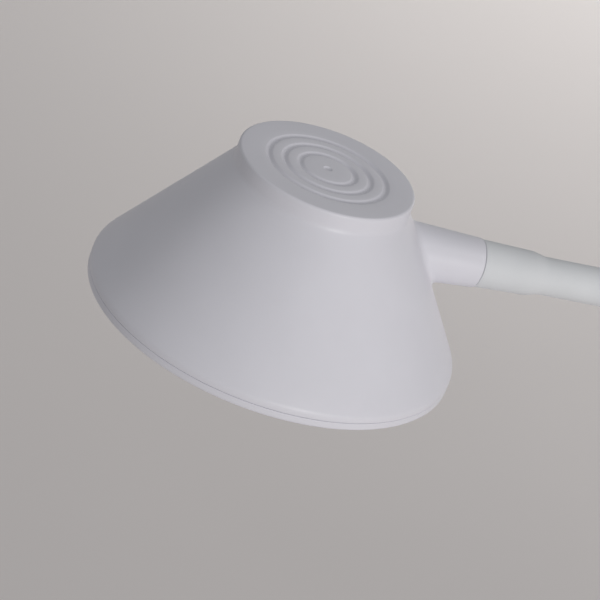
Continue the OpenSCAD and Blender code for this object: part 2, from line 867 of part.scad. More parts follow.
module hinge_pin() {
    color("silver") difference() {
        union() {
            along_pin(pin_r, -pin_out - clip_ring_t - 1, pin_out + eps);
            along_pin(pin_head_r, pin_out, pin_out + pin_head_t);
        }
        difference() {
            along_pin(pin_r + 1, -pin_out - clip_ring_t - fit_gap, -pin_out + fit_gap);
            along_pin(pin_r - 0.5, -pin_out - 2, 0);
        }
    }
}

module pin_ring() {
    color("dimgray") difference() {
        along_pin(clip_ring_r, -pin_out - clip_ring_t, -pin_out);
        along_pin(pin_r - 0.5 + fit_gap / 2, -pin_out - 2, 0);
        translate([pivot_x, -pin_out - 2, pivot_z - clip_ring_r - 1]) cube([1.4, 4, clip_ring_r]);
    }
}

// The spring: upper leg, helical coil round the pin, lower leg.
leg_rise = asin((base_z - pivot_z - coil_r - wire_d / 2 - fit_gap) / (leg_length * 1.05));
coil_from = 90 + leg_rise;
coil_to = 270 - handle_tilt;
coil_sweep = 360 * coil_turns + coil_to - coil_from;
coil_steps = coil_turns * 14;

function coil_point(t) = let (a = coil_from + coil_sweep * t)
    [pivot_x + coil_r * cos(a), -coil_length / 2 + coil_length * t, pivot_z + coil_r * sin(a)];
function leg(a) = leg_length * [cos(a), 0, sin(a)];
spring_path = concat(
    [coil_point(0) + leg(leg_rise)],
    [for (i = [0:coil_steps]) coil_point(i / coil_steps)],
    [coil_point(1) + leg(-handle_tilt)]
);

function unit(v) = v / norm(v);
function along(path, i) = unit(path[min(i + 1, len(path) - 1)] - path[max(i - 1, 0)]);
function ring(path, i, r, sides) =
    let (t = along(path, i), y = [0, 1, 0], u = unit(y - (y * t) * t), v = cross(t, u))
    [for (j = [0:sides - 1]) path[i] + r * (cos(360 * j / sides) * u + sin(360 * j / sides) * v)];

module wire(path, r, sides) {
    n = len(path);
    points = [for (i = [0:n - 1]) each ring(path, i, r, sides)];
    walls = [for (i = [0:n - 2], j = [0:sides - 1]) let (k = (j + 1) % sides)
        [i * sides + j, i * sides + k, (i + 1) * sides + k, (i + 1) * sides + j]];
    foot = [for (j = [sides - 1:-1:0]) j];
    tip = [for (j = [0:sides - 1]) (n - 1) * sides + j];
    polyhedron(points, concat([foot], walls, [tip]));
}

module torsion_spring() {
    color("gray") wire(spring_path, wire_d / 2, 8);
}

// ---- electronics ----

module soft_block(x0, x1, w, z0, z1, r) {
    translate([0, 0, z0]) linear_extrude(z1 - z0) union() {
        translate([x0 + r, -w / 2]) square([x1 - x0 - 2 * r, w]);
        translate([x0, -w / 2 + r]) square([x1 - x0, w - 2 * r]);
        for (x = [x0 + r, x1 - r], y = [-1, 1] * (w / 2 - r)) translate([x, y]) circle(r);
    }
}

module battery() {
    color("steelblue")
        soft_block(battery_x, battery_x + battery_l, battery_w, battery_z, battery_z + battery_t, 2);
}

module control_board() {
    color("seagreen") difference() {
        soft_block(pcb_x0, pcb_x1, pcb_w, pcb_z, pcb_top, 1.5);
        for (x = pcb_posts) translate([x, 0, pcb_z - 1]) cylinder(r = pcb_screw_r + 0.15, h = board_t + 2);
    }
}

module board_screws() {
    color("silver") for (x = pcb_posts) translate([x, 0, pcb_z - pcb_screw_head_t]) {
        cylinder(r = pcb_screw_r, h = pcb_screw_head_t + board_t + 4);
        cylinder(r = 2 * pcb_screw_r, h = pcb_screw_head_t);
    }
}

module usb_socket() {
    color("silver") translate([usb_x, 0, pcb_top + usb_h / 2]) {
        difference() {
            usb_slot(usb_w, usb_h, usb_l);
            translate([1.2, 0, 0]) usb_slot(usb_w - 2 * usb_wall, usb_h - 2 * usb_wall, usb_l);
        }
        translate([1, -3.3, -0.35]) cube([usb_l - 2, 6.6, 0.7]);
    }
}

module push_switch() {
    color("dimgray") translate([button_x, 0, pcb_top]) {
        translate([-switch_w / 2, -switch_w / 2, 0]) cube([switch_w, switch_w, 3.3]);
        cylinder(r = 1.7, h = button_low - button_travel - 0.2 - pcb_top);
    }
}

module power_button() {
    color("white") translate([button_x, 0, 0]) rotate_extrude() polygon([
        [0, button_low], [2.5, button_low], [2.5, button_low + 0.4],
        [button_flange_r, button_low + 0.4], [button_flange_r, ceiling_z - move_gap],
        [button_r, ceiling_z - move_gap], [button_r, roof_z + button_travel - 0.5],
        [button_r - 0.5, roof_z + button_travel], [0, roof_z + button_travel - 0.3]
    ]);
}

module status_led() {
    color("khaki") translate([status_x - 0.8, -0.4, pcb_top]) cube([1.6, 0.8, 0.6]);
}

module status_lens() {
    color("white") translate([status_x, 0, 0]) {
        translate([0, 0, pcb_top + 1]) cylinder(r = lens_r, h = roof_z - pcb_top - 1);
        translate([0, 0, ceiling_z - 1 - fit_gap]) cylinder(r = lens_r + 0.8, h = 1);
    }
}

shade();
diffuser_bezel();
diffuser();
reflector();
led_board();
led_chips();
heat_spreader();
light_screws();
head_ferrule();
head_nut();
head_washer();
arm_sleeve(1);  // arm_sleeve_1
arm_sleeve(2);  // arm_sleeve_2
arm_sleeve(3);  // arm_sleeve_3
arm_sleeve(4);  // arm_sleeve_4
arm_sleeve(5);  // arm_sleeve_5
arm_sleeve(6);  // arm_sleeve_6
arm_sleeve(7);  // arm_sleeve_7
arm_core(1);  // arm_core_1
arm_core(2);  // arm_core_2
arm_core(3);  // arm_core_3
arm_core(4);  // arm_core_4
arm_core(5);  // arm_core_5
arm_core(6);  // arm_core_6
arm_core(7);  // arm_core_7
arm_lead(1);  // arm_lead_1
arm_lead(2);  // arm_lead_2
arm_lead(3);  // arm_lead_3
arm_lead(4);  // arm_lead_4
arm_lead(5);  // arm_lead_5
arm_lead(6);  // arm_lead_6
arm_lead(7);  // arm_lead_7
clip_base();
clip_cover();
upper_pad();
lower_jaw();
lower_pad();
hinge_pin();
pin_ring();
torsion_spring();
case_screws();
battery();
control_board();
board_screws();
usb_socket();
push_switch();
power_button();
status_led();
status_lens();
arm_collar();
base_ferrule();
base_nut();
base_washer();
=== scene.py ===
"""Clip-on reading lamp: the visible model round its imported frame, laid out as an add-on.

Lengths are in metres in the lamp's own frame: Z is up, the arm rises from the clip
at the origin and reaches over to -X. Every finished piece keeps its place in its mesh.
"""

import json
import math

import bmesh
import bpy
from mathutils import Matrix, Vector


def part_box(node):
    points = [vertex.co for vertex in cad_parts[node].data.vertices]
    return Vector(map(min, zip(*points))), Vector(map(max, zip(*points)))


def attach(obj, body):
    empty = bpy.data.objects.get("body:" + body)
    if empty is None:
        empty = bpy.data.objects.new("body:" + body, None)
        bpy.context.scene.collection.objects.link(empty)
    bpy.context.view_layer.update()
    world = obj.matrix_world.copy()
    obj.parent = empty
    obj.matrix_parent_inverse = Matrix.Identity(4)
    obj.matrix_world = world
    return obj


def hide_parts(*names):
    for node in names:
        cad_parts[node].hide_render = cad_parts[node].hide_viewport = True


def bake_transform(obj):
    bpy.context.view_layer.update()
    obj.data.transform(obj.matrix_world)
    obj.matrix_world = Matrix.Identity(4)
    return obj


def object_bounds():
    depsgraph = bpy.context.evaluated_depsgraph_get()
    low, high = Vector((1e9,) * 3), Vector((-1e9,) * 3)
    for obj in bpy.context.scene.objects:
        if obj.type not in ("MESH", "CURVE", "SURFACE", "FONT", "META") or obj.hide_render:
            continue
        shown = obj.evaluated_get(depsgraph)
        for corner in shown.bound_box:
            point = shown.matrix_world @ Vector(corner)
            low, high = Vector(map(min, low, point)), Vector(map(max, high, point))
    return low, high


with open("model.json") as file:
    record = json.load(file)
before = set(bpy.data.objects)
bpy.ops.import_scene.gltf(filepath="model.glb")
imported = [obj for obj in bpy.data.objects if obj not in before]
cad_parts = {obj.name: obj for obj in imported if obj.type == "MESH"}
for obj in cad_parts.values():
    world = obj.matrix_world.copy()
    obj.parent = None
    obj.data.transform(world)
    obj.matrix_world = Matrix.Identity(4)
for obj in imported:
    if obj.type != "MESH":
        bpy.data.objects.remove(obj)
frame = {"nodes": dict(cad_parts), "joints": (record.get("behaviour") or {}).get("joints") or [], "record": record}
CAD_BOX = [list(corner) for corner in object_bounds()]

bl_info = {
    "name": "Clip-on Reading Lamp",
    "version": (1, 0, 0),
    "blender": (4, 5, 0),
    "location": "3D View > Sidebar > Reading Lamp",
    "description": "Builds a clip-on reading lamp with a cone shade and a bending arm",
    "category": "Object",
}

MM = 0.001
TINY = 1e-6
Y, Z = Vector((0, 1, 0)), Vector((0, 0, 1))
JOINTS = {joint["name"]: joint for joint in frame["joints"]}
SLOTS = {part["node"]: part["material_slot"] for part in frame["record"]["subparts"]}
ARM_BORE_R = 4.7 * MM  # hole for the arm through the clip's roof and collar


def low(node):
    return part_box(node)[0]


def high(node):
    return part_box(node)[1]


def middle_of(node):
    return (low(node) + high(node)) / 2


def pivot(joint):
    return Vector(JOINTS[joint]["pos_m"])


def clip_underside():
    """Height of the clip's underside, which the upper pad is let into."""
    return high("upper_pad").z - 1 * MM


# ---- sizes and colours a user may change ----


def length(name, description, millimetres):
    return bpy.props.FloatProperty(
        name=name, description=description, default=millimetres * MM, unit="LENGTH", precision=5)


def angle(name, description, degrees):
    return bpy.props.FloatProperty(
        name=name, description=description, default=math.radians(degrees), unit="ROTATION", subtype="ANGLE")


def number(name, description, default):
    return bpy.props.FloatProperty(name=name, description=description, default=default, min=0)


def colour(name, description, default):
    return bpy.props.FloatVectorProperty(
        name=name, description=description, default=default, size=3, min=0, max=1, subtype="COLOR")


class LampSizes(bpy.types.PropertyGroup):
    """Sizes of the lamp's visible pieces."""

    disc_r: length("Disc radius", "Radius of the flat top of the shade", 26.3)
    disc_edge: length("Disc edge", "Rounding of the top disc's edge", 0.8)
    neck_h: length("Neck height", "Straight neck under the top disc", 5.1)
    neck_fillet: length("Neck fillet", "Fillet where the neck meets the cone", 3)
    rim_r: length("Rim radius", "Outer radius of the shade's rim", 55)
    band_h: length("Band height", "Depth at which the cone turns to the rim band", 47.4)
    seam_h: length("Seam height", "Depth of the seam between shade and bezel", 49.2)
    shade_h: length("Shade height", "Depth of the lamp head with its bezel", 51.6)
    wall: length("Shade wall", "Wall of the shade", 2)
    top_t: length("Top thickness", "Thickness of the shade's top disc", 2.4)
    groove_rs: bpy.props.FloatVectorProperty(
        name="Groove radii", description="Radii of the three rings in the top disc",
        default=(8.2 * MM, 12.85 * MM, 17.5 * MM), size=3, unit="LENGTH", precision=5)
    groove_w: length("Groove width", "Width of a ring in the top disc", 2.5)
    groove_depth: length("Groove depth", "Depth of a ring in the top disc", 0.65)
    dimple_r: length("Dimple radius", "Radius of the gate mark at the disc's centre", 1.4)
    stub_drop: length("Stub drop", "Depth of the stub's axis below the top disc", 20.1)
    stub_seat: length("Stub seat", "Distance from the lamp axis to the stub's inner end", 27.5)
    stub_end: length("Stub end", "Distance from the lamp axis to the stub's outer end", 53.9)
    stub_root_r: length("Stub root radius", "Radius of the stub at its inner end", 8.7)
    stub_end_r: length("Stub end radius", "Radius of the stub at its outer end", 7.3)
    stub_bore_r: length("Stub bore", "Radius of the hole through the stub", 4.7)
    stub_fillet: length("Stub fillet", "Width of the fillet between stub and cone", 2.2)
    lip_w: length("Bezel lip", "Width of the bezel's lip under the diffuser", 5)
    lip_t: length("Bezel lip thickness", "Thickness of the bezel's lip", 1.2)
    seam_gap: length("Seam gap", "Open line between two pressed-together shells", 0.1)
    sleeve_r: length("Sleeve radius", "Outer radius of the silicone sleeve", 5.65)
    sleeve_bore_r: length("Sleeve bore", "Inner radius of the sleeve", 4)
    boot_r: length("Boot radius", "Sleeve radius at each of its feet", 7.05)
    boot_small_r: length("Boot small radius", "Sleeve radius at the thin end of its foot", 6.6)
    boot_l: length("Boot length", "Length of the tapered foot of the sleeve", 15.8)
    boot_shoulder: length("Boot shoulder", "Length of the step down from the foot", 5.5)
    core_r: length("Gooseneck radius", "Outer radius of the wound steel gooseneck", 3.9)
    core_bore_r: length("Gooseneck bore", "Inner radius of the gooseneck", 2.4)
    lead_r: length("Lead radius", "Radius of the lead inside the gooseneck", 1.6)
    curve_r: length("Arm curve", "Radius of the arm's curve at rest", 90)
    curve_lead: length("Curve lead", "Straight stretch on each side of a bending point", 6)
    curve_turn: angle("Curve angle", "Turn of each curved link", 35.5)
    head_reach: length("Head reach", "Distance from the last bending point to the lamp axis", 114.2)
    corner_r: length("Clip corner", "Corner radius of the clip seen from above", 12)
    top_round: length("Clip top rounding", "Rounding of the clip's top edge", 5)
    bottom_round: length("Clip bottom rounding", "Rounding of the clip's bottom edge", 2.5)
    clip_wall: length("Clip wall", "Wall of the clip housing", 2)
    button_r: length("Button radius", "Radius of the power button", 6)
    button_gap: length("Button gap", "Gap round the power button", 0.3)
    wire_r: length("Spring wire", "Radius of the jaw spring's wire", 0.7)
    coil_r: length("Spring coil", "Mean radius of the jaw spring's coil", 4.6)
    coil_l: length("Spring coil length", "Length of the spring's coil along the pin", 15)
    leg_l: length("Spring leg", "Length of each leg of the spring", 19)
    jaw_tilt: angle("Squeeze plate slope", "Slope of the squeeze plate at rest", 20)


class LampColours(bpy.types.PropertyGroup):
    """Colours of the lamp's finishes."""

    shade: colour("Shade plastic", "Cool white of shade, stub and clip", (0.80, 0.797, 0.855))
    silicone: colour("Silicone", "Soft white of the arm's sleeve", (0.765, 0.785, 0.805))
    pads: colour("Pad rubber", "Grey of the gripping pads", (0.34, 0.345, 0.355))
    diffuser: colour("Diffuser", "Opal white of the diffuser", (0.89, 0.88, 0.86))
    floor: colour("Floor", "Warm pale floor", (0.81, 0.773, 0.757))


class StageSettings(bpy.types.PropertyGroup):
    """Camera and light."""

    camera_azimuth: angle("Camera azimuth", "Turn of the camera round the lamp from the front", -12.044)
    camera_elevation: angle("Camera elevation", "Height of the camera above the horizon", 32.726)
    camera_roll: angle("Camera roll", "Turn of the camera about its own view", 0.6)
    camera_distance: length("Camera distance", "Distance from the camera to its aim", 1016.5)
    aim: bpy.props.FloatVectorProperty(
        name="Aim", description="Point the camera looks at, from the centre of the top disc",
        default=(-11.6 * MM, -18.32 * MM, -31.1 * MM), size=3, unit="LENGTH", precision=5)
    lens: number("Lens", "Focal length in millimetres", 216)
    sky: number("Sky light", "Strength of the even light from all round", 0.33)
    key_power: number("Key light", "Power of the low key light in watts", 7.6)
    side_power: number("Side light", "Power of the small light beside the arm in watts", 1.0)
    pool_power: number("Floor light", "Power of the light on the floor behind in watts", 3.8)


# ---- modelling helpers ----


def start_clean():
    """Leaves edit mode and deselects everything."""
    if bpy.context.object and bpy.context.object.mode != "OBJECT":
        bpy.ops.object.mode_set(mode="OBJECT")
    bpy.ops.object.select_all(action="DESELECT")


def named(name):
    piece = bpy.context.object
    piece.name = piece.data.name = name
    return piece


def choose(piece):
    start_clean()
    piece.select_set(True)
    bpy.context.view_layer.objects.active = piece


def edit(piece, kind="VERT", action="SELECT"):
    """Opens a piece in edit mode with all of it selected, or none of it."""
    choose(piece)
    bpy.ops.object.mode_set(mode="EDIT")
    bpy.ops.mesh.select_mode(type=kind)
    bpy.ops.mesh.select_all(action=action)


def pick_edges(piece, test):
    """Selects the edges whose two ends pass a test."""
    edit(piece, "EDGE", "DESELECT")
    mesh = bmesh.from_edit_mesh(piece.data)
    for edge in mesh.edges:
        edge.select_set(test(edge.verts[0].co, edge.verts[1].co))
    mesh.select_flush_mode()
    bmesh.update_edit_mesh(piece.data)


def close_up(piece):
    """Merges doubles and points the faces outwards."""
    edit(piece)
    bpy.ops.mesh.remove_doubles(threshold=2 * TINY)
    bpy.ops.mesh.normals_make_consistent(inside=False)
    bpy.ops.object.mode_set(mode="OBJECT")


def modify(piece, kind, **settings):
    """Adds a modifier with its settings and applies it."""
    choose(piece)
    modifier = piece.modifiers.new(kind, kind)
    for name, value in settings.items():
        setattr(modifier, name, value)
    bpy.ops.object.modifier_apply(modifier=modifier.name)


def smooth(piece, sharpest=32):
    choose(piece)
    bpy.ops.object.shade_smooth_by_angle(angle=math.radians(sharpest))


def rounded(corners):
    """An outline of (radius, height, rounding) corners, each rounding an arc that fits its sides."""
    outline = []
    for i, (r, h, rounding) in enumerate(corners):
        here = Vector((r, h))
        if rounding == 0:
            outline.append(here)
            continue
        before = Vector(corners[i - 1][:2]) - here
        after = Vector(corners[(i + 1) % len(corners)][:2]) - here
        turn = math.pi - before.angle(after)
        reach = min(rounding * math.tan(turn / 2), 0.49 * before.length, 0.49 * after.length)
        start, end = before.normalized() * reach, after.normalized() * reach
        middle = (start + end).normalized()
        radius = reach / math.tan(turn / 2)
        centre = middle * (radius / math.cos(turn / 2))
        first, last = start - centre, end - centre
        sweep = first.angle_signed(last)
        steps = max(3, math.ceil(abs(math.degrees(sweep)) / 9))
        for step in range(steps + 1):
            spin = -sweep * step / steps
            spoke = Vector((first.x * math.cos(spin) - first.y * math.sin(spin),
                            first.x * math.sin(spin) + first.y * math.cos(spin)))
            outline.append(here + centre + spoke)
    return outline


def turned(name, outline, place=Matrix(), steps=144, closed=False):
    """Spins an outline of (radius, height) points about Z, as on a lathe, and sets it at its place."""
    start_clean()
    bpy.ops.mesh.primitive_circle_add(vertices=len(outline), radius=1, fill_type="NOTHING")
    piece = named(name)
    for vertex, (r, h) in zip(piece.data.vertices, outline):
        vertex.co = (r, 0, h)
    if not closed:
        ends = {tuple(Vector((r, 0, h))) for r, h in (outline[0], outline[-1])}
        pick_edges(piece, lambda a, b: {tuple(a), tuple(b)} == ends)
        bpy.ops.mesh.delete(type="EDGE")
    edit(piece)
    bpy.ops.mesh.spin(steps=steps, angle=math.tau, center=(0, 0, 0), axis=(0, 0, 1))
    close_up(piece)
    piece.data.transform(place)
    return piece


def grid(name, rows, columns):
    """A grid piece, with the row and column of each of its vertices."""
    start_clean()
    bpy.ops.mesh.primitive_grid_add(x_subdivisions=rows, y_subdivisions=columns, size=2)
    piece = named(name)
    spots = [(round((vertex.co.x + 1) / 2 * rows), round((vertex.co.y + 1) / 2 * columns))
             for vertex in piece.data.vertices]
    return piece, spots


def swept(name, rings, sides, closed=False):
    """A tube through rings of (centre, across, up, radius, distance along), wrapped from a grid.
    A closed one joins its last ring to its first, so that it has a bore."""
    rings = rings + rings[:1] if closed else rings
    piece, spots = grid(name, len(rings) - 1, sides)
    along = piece.data.attributes.new("along", "FLOAT", "POINT")
    for i, (row, column) in enumerate(spots):
        turn = math.tau * column / sides
        centre, across, up, radius, distance = rings[row]
        piece.data.vertices[i].co = centre + radius * (math.cos(turn) * across + math.sin(turn) * up)
        along.data[i].value = distance
    close_up(piece)
    return piece


def softened(node, name, width, segments):
    """A copy of a CAD node with its loose triangles merged, its flats made whole and its edges rounded."""
    start_clean()
    piece = frame["nodes"][node].copy()
    piece.data = piece.data.copy()
    for key in [key for key in piece.keys() if key.startswith("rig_")]:
        del piece[key]
    piece.parent = None
    bpy.context.scene.collection.objects.link(piece)
    piece.name = piece.data.name = name
    piece.data.materials.clear()
    edit(piece)
    bpy.ops.mesh.remove_doubles(threshold=2 * TINY)
    bpy.ops.mesh.dissolve_limited(angle_limit=math.radians(0.4))
    bpy.ops.object.mode_set(mode="OBJECT")
    modify(piece, "BEVEL", width=width, segments=segments, limit_method="ANGLE",
           angle_limit=math.radians(30), use_clamp_overlap=True, miter_outer="MITER_ARC")
    smooth(piece, 40)
    modify(piece, "WEIGHTED_NORMAL", keep_sharp=True)
    return piece


def cut(piece, *cutters, operation="DIFFERENCE"):
    """Cuts the cutters out of a piece, or adds them to it, and removes them."""
    for cutter in cutters:
        modify(piece, "BOOLEAN", operation=operation, solver="EXACT", object=cutter)
        bpy.data.objects.remove(cutter)


def rod(radius, start, end, sides=64):
    """A cylinder from start to end."""
    start, end = Vector(start), Vector(end)
    start_clean()
    bpy.ops.mesh.primitive_cylinder_add(
        vertices=sides, radius=radius, depth=(end - start).length, location=(start + end) / 2,
        rotation=(end - start).to_track_quat("Z", "Y").to_euler())
    bpy.ops.object.transform_apply(location=True, rotation=True, scale=True)
    return bpy.context.object


def block(low_corner, high_corner):
    low_corner, high_corner = Vector(low_corner), Vector(high_corner)
    start_clean()
    bpy.ops.mesh.primitive_cube_add(
        size=1, location=(low_corner + high_corner) / 2, scale=high_corner - low_corner)
    bpy.ops.object.transform_apply(location=True, rotation=True, scale=True)
    return bpy.context.object


def rounded_block(name, low_corner, high_corner, corner, top, bottom):
    """A block whose upright corners, top edge and bottom edge are rounded."""
    piece = block(low_corner, high_corner)
    piece.name = piece.data.name = name
    pick_edges(piece, lambda a, b: abs(a.x - b.x) < TINY and abs(a.y - b.y) < TINY)
    bpy.ops.mesh.bevel(offset=corner, segments=14, affect="EDGES")
    for level, rounding in ((high_corner[2], top), (low_corner[2], bottom)):
        if rounding:
            pick_edges(piece, lambda a, b: abs(a.z - level) < TINY and abs(b.z - level) < TINY)
            bpy.ops.mesh.bevel(offset=rounding, segments=8, affect="EDGES")
    close_up(piece)
    return piece


def join(piece, *others):
    start_clean()
    for other in others:
        other.select_set(True)
    piece.select_set(True)
    bpy.context.view_layer.objects.active = piece
    bpy.ops.object.join()


def finished(piece, body, *nodes):
    """Gives a piece its finish from its first node's slot and lets it ride and stand for its nodes."""
    dress(piece, SLOTS[nodes[0]])
    if body:
        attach(piece, body)
    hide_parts(*nodes)


# ---- finishes ----


class Finish:
    """A material whose colour, roughness and surface come from patterns on the object's own coordinates."""

    def __init__(self, name, roughness, metallic=0.0, specular=0.5):
        self.material = bpy.data.materials.new(name)
        self.material.use_nodes = True
        self.nodes = self.material.node_tree.nodes
        self.links = self.material.node_tree.links
        self.shader = self.nodes["Principled BSDF"]
        self.shader.inputs["Metallic"].default_value = metallic
        self.shader.inputs["Specular IOR Level"].default_value = specular
        self.roughness = roughness
        self.place = self.nodes.new("ShaderNodeTexCoord").outputs["Object"]
        self.bump = None

    def noise(self, scale, detail=2.0, stretch=(1, 1, 1)):
        mapping = self.nodes.new("ShaderNodeMapping")
        mapping.inputs["Scale"].default_value = stretch
        self.links.new(self.place, mapping.inputs["Vector"])
        noise = self.nodes.new("ShaderNodeTexNoise")
        noise.inputs["Scale"].default_value = scale
        noise.inputs["Detail"].default_value = detail
        self.links.new(mapping.outputs["Vector"], noise.inputs["Vector"])
        return noise.outputs["Fac"]

    def waves(self, pitch, by, sharp=1.0):
        """A repeating ridge, pitch metres apart, along a coordinate or attribute output."""
        turns = self.math("MULTIPLY", by, 1 / pitch)
        phase = self.math("FRACT", turns)
        away = self.math("ABSOLUTE", self.math("SUBTRACT", phase, 0.5))
        height = self.math("SUBTRACT", 1.0, self.math("MULTIPLY", away, 2.0))
        return self.math("POWER", height, sharp)

    def math(self, operation, first, second=0.0):
        node = self.nodes.new("ShaderNodeMath")
        node.operation = operation
        for socket, value in zip(node.inputs, (first, second)):
            if isinstance(value, bpy.types.NodeSocket):
                self.links.new(value, socket)
            else:
                socket.default_value = value
        return node.outputs["Value"]

    def attribute(self, name):
        node = self.nodes.new("ShaderNodeAttribute")
        node.attribute_name = name
        return node.outputs["Fac"]

    def paint(self, pattern, dark, light, low_end=0.3, high_end=0.7):
        """Base colour from dark to light as the pattern goes from low_end to high_end."""
        ramp = self.nodes.new("ShaderNodeValToRGB")
        ramp.color_ramp.elements[0].position = low_end
        ramp.color_ramp.elements[1].position = high_end
        ramp.color_ramp.elements[0].color = (*dark, 1)
        ramp.color_ramp.elements[1].color = (*light, 1)
        self.links.new(pattern, ramp.inputs["Fac"])
        self.links.new(ramp.outputs["Color"], self.shader.inputs["Base Color"])
        return self

    def polish(self, pattern, spread):
        """Roughness that wanders by spread either side of its middle."""
        scaled = self.nodes.new("ShaderNodeMapRange")
        scaled.inputs["From Min"].default_value = 0.25
        scaled.inputs["From Max"].default_value = 0.75
        scaled.inputs["To Min"].default_value = self.roughness - spread
        scaled.inputs["To Max"].default_value = self.roughness + spread
        self.links.new(pattern, scaled.inputs["Value"])
        self.links.new(scaled.outputs["Result"], self.shader.inputs["Roughness"])
        return self

    def relief(self, pattern, height, strength=1.0):
        """Raises the surface by the pattern; a second call adds to the first."""
        bump = self.nodes.new("ShaderNodeBump")
        bump.inputs["Strength"].default_value = strength
        bump.inputs["Distance"].default_value = height
        self.links.new(pattern, bump.inputs["Height"])
        if self.bump:
            self.links.new(self.bump, bump.inputs["Normal"])
        self.bump = bump.outputs["Normal"]
        self.links.new(self.bump, self.shader.inputs["Normal"])
        return self

    def set(self, **sockets):
        for name, value in sockets.items():
            self.shader.inputs[name.replace("_", " ")].default_value = value
        return self


def shaded(colour_value, amount):
    return tuple(max(0.0, min(1.0, channel * amount)) for channel in colour_value)


def mottled(name, base, roughness, tints, patterns, spread, depth, stretch=(1, 1, 1), **shader):
    """A finish that wanders between two tints of its base and by spread in its roughness, with a grain
    of some depth. The patterns are the (scale, detail) of its colour, its roughness and its grain."""
    finish = Finish(name, roughness, **shader)
    cloud, gloss, grain = [finish.noise(scale, detail, stretch) for scale, detail in patterns]
    finish.paint(cloud, shaded(base, tints[0]), shaded(base, tints[1]))
    finish.polish(gloss, spread)
    return finish.relief(grain, depth)


def moulded_plastic(name, base, roughness, mottle=0.02, spread=0.04, grain=0.012 * MM):
    """Fine satin injection-moulded plastic: a faint cloudiness and an eroded-tool grain."""
    finish = mottled(name, base, roughness, (1 - mottle, 1 + mottle), ((38, 3), (240, 2), (2600, 2)),
                     spread, grain, specular=0.45)
    return finish.relief(finish.noise(90, 1), 0.02 * MM, 0.5)


def soft_silicone(name, base):
    """Matte silicone rubber with a dusty bloom and the faint rings of its extrusion."""
    finish = mottled(name, base, 0.62, (0.97, 1.03), ((60, 4), (300, 2), (1500, 2)), 0.06, 0.018 * MM,
                     specular=0.35)
    finish.relief(finish.waves(1.9 * MM, finish.attribute("along")), 0.012 * MM, 0.6)
    return finish.set(Sheen_Weight=0.12, Sheen_Roughness=0.5)


def grip_rubber(name, base):
    return mottled(name, base, 0.78, (0.88, 1.12), ((120, 5), (500, 2), (2200, 3)), 0.06, 0.03 * MM,
                   specular=0.3)


def opal_sheet(name, base):
    """Opal polycarbonate that lets light through and scatters it."""
    finish = mottled(name, base, 0.42, (0.98, 1.02), ((25, 2), (400, 2), (1800, 2)), 0.05, 0.01 * MM)
    return finish.set(Subsurface_Weight=0.25, Subsurface_Scale=2 * MM)


def plated_steel(name, base, roughness, stretch=(1, 1, 1)):
    """Plated or drawn steel with fine lines along its working direction."""
    return mottled(name, base, roughness, (0.86, 1.12), ((700, 4), (900, 3), (1600, 3)), 0.08, 0.01 * MM,
                   stretch, metallic=1.0)


def wound_steel(name, base):
    """The gooseneck's round wire: painted shade darkens the grooves between its turns and a painted highlight
    lightens their crests, on the same ridges that raise its surface.
    """
    finish = Finish(name, 0.34, metallic=1.0)
    turns = finish.waves(2.1 * MM, finish.attribute("along"), 0.6)
    # painted shade in the grooves between the turns, painted highlight on their crests
    finish.paint(turns, shaded(base, 0.35), shaded(base, 1.15), 0.05, 0.6)
    finish.polish(finish.noise(800, 3), 0.08)
    finish.relief(turns, 0.35 * MM)
    return finish


def cable_jacket(name, base):
    finish = Finish(name, 0.5, specular=0.4)
    finish.paint(finish.noise(200, 3), shaded(base, 0.8), shaded(base, 1.25))
    finish.polish(finish.noise(600, 2), 0.07)
    finish.relief(finish.waves(0.9 * MM, finish.attribute("along")), 0.01 * MM, 0.5)
    return finish


def shrink_wrap(name, base):
    """Heat-shrunk film on the cell, with its lengthwise wrinkles."""
    finish = Finish(name, 0.22, specular=0.6)
    finish.paint(finish.noise(70, 3, (0.3, 1, 1)), shaded(base, 0.85), shaded(base, 1.15))
    finish.polish(finish.noise(180, 2), 0.06)
    finish.relief(finish.noise(260, 3, (0.15, 1, 1)), 0.12 * MM)
    return finish.set(Coat_Weight=0.5, Coat_Roughness=0.15)


def circuit_board(name, base, trace):
    """Solder mask over copper: straight tracks show through as a lighter pattern."""
    finish = Finish(name, 0.38, specular=0.55)
    tracks = finish.nodes.new("ShaderNodeTexBrick")
    tracks.inputs["Scale"].default_value = 1.0
    tracks.inputs["Brick Width"].default_value = 5.2 * MM
    tracks.inputs["Row Height"].default_value = 1.9 * MM
    tracks.inputs["Mortar Size"].default_value = 0.22 * MM
    tracks.inputs["Color1"].default_value = (0, 0, 0, 1)
    tracks.inputs["Color2"].default_value = (0.12, 0.12, 0.12, 1)
    tracks.inputs["Mortar"].default_value = (1, 1, 1, 1)
    finish.links.new(finish.place, tracks.inputs["Vector"])
    finish.paint(tracks.outputs["Color"], base, trace, 0.0, 1.0)
    finish.polish(finish.noise(500, 2), 0.06)
    finish.relief(tracks.outputs["Color"], 0.03 * MM)
    return finish.set(Coat_Weight=0.3, Coat_Roughness=0.2)


def light_chip(name, base):
    """Phosphor-filled light chips in white cups."""
    finish = mottled(name, base, 0.3, (0.8, 1.1), ((900, 2), (1500, 2), (2500, 2)), 0.06, 0.02 * MM)
    return finish.set(Coat_Weight=0.4, Coat_Roughness=0.1)


def clear_plastic(name):
    finish = Finish(name, 0.12, specular=0.5)
    finish.paint(finish.noise(500, 2), (0.90, 0.92, 0.93), (0.97, 0.98, 0.98))
    finish.polish(finish.noise(700, 2), 0.04)
    finish.relief(finish.noise(1200, 2), 0.01 * MM)
    return finish.set(Transmission_Weight=0.7, IOR=1.49)


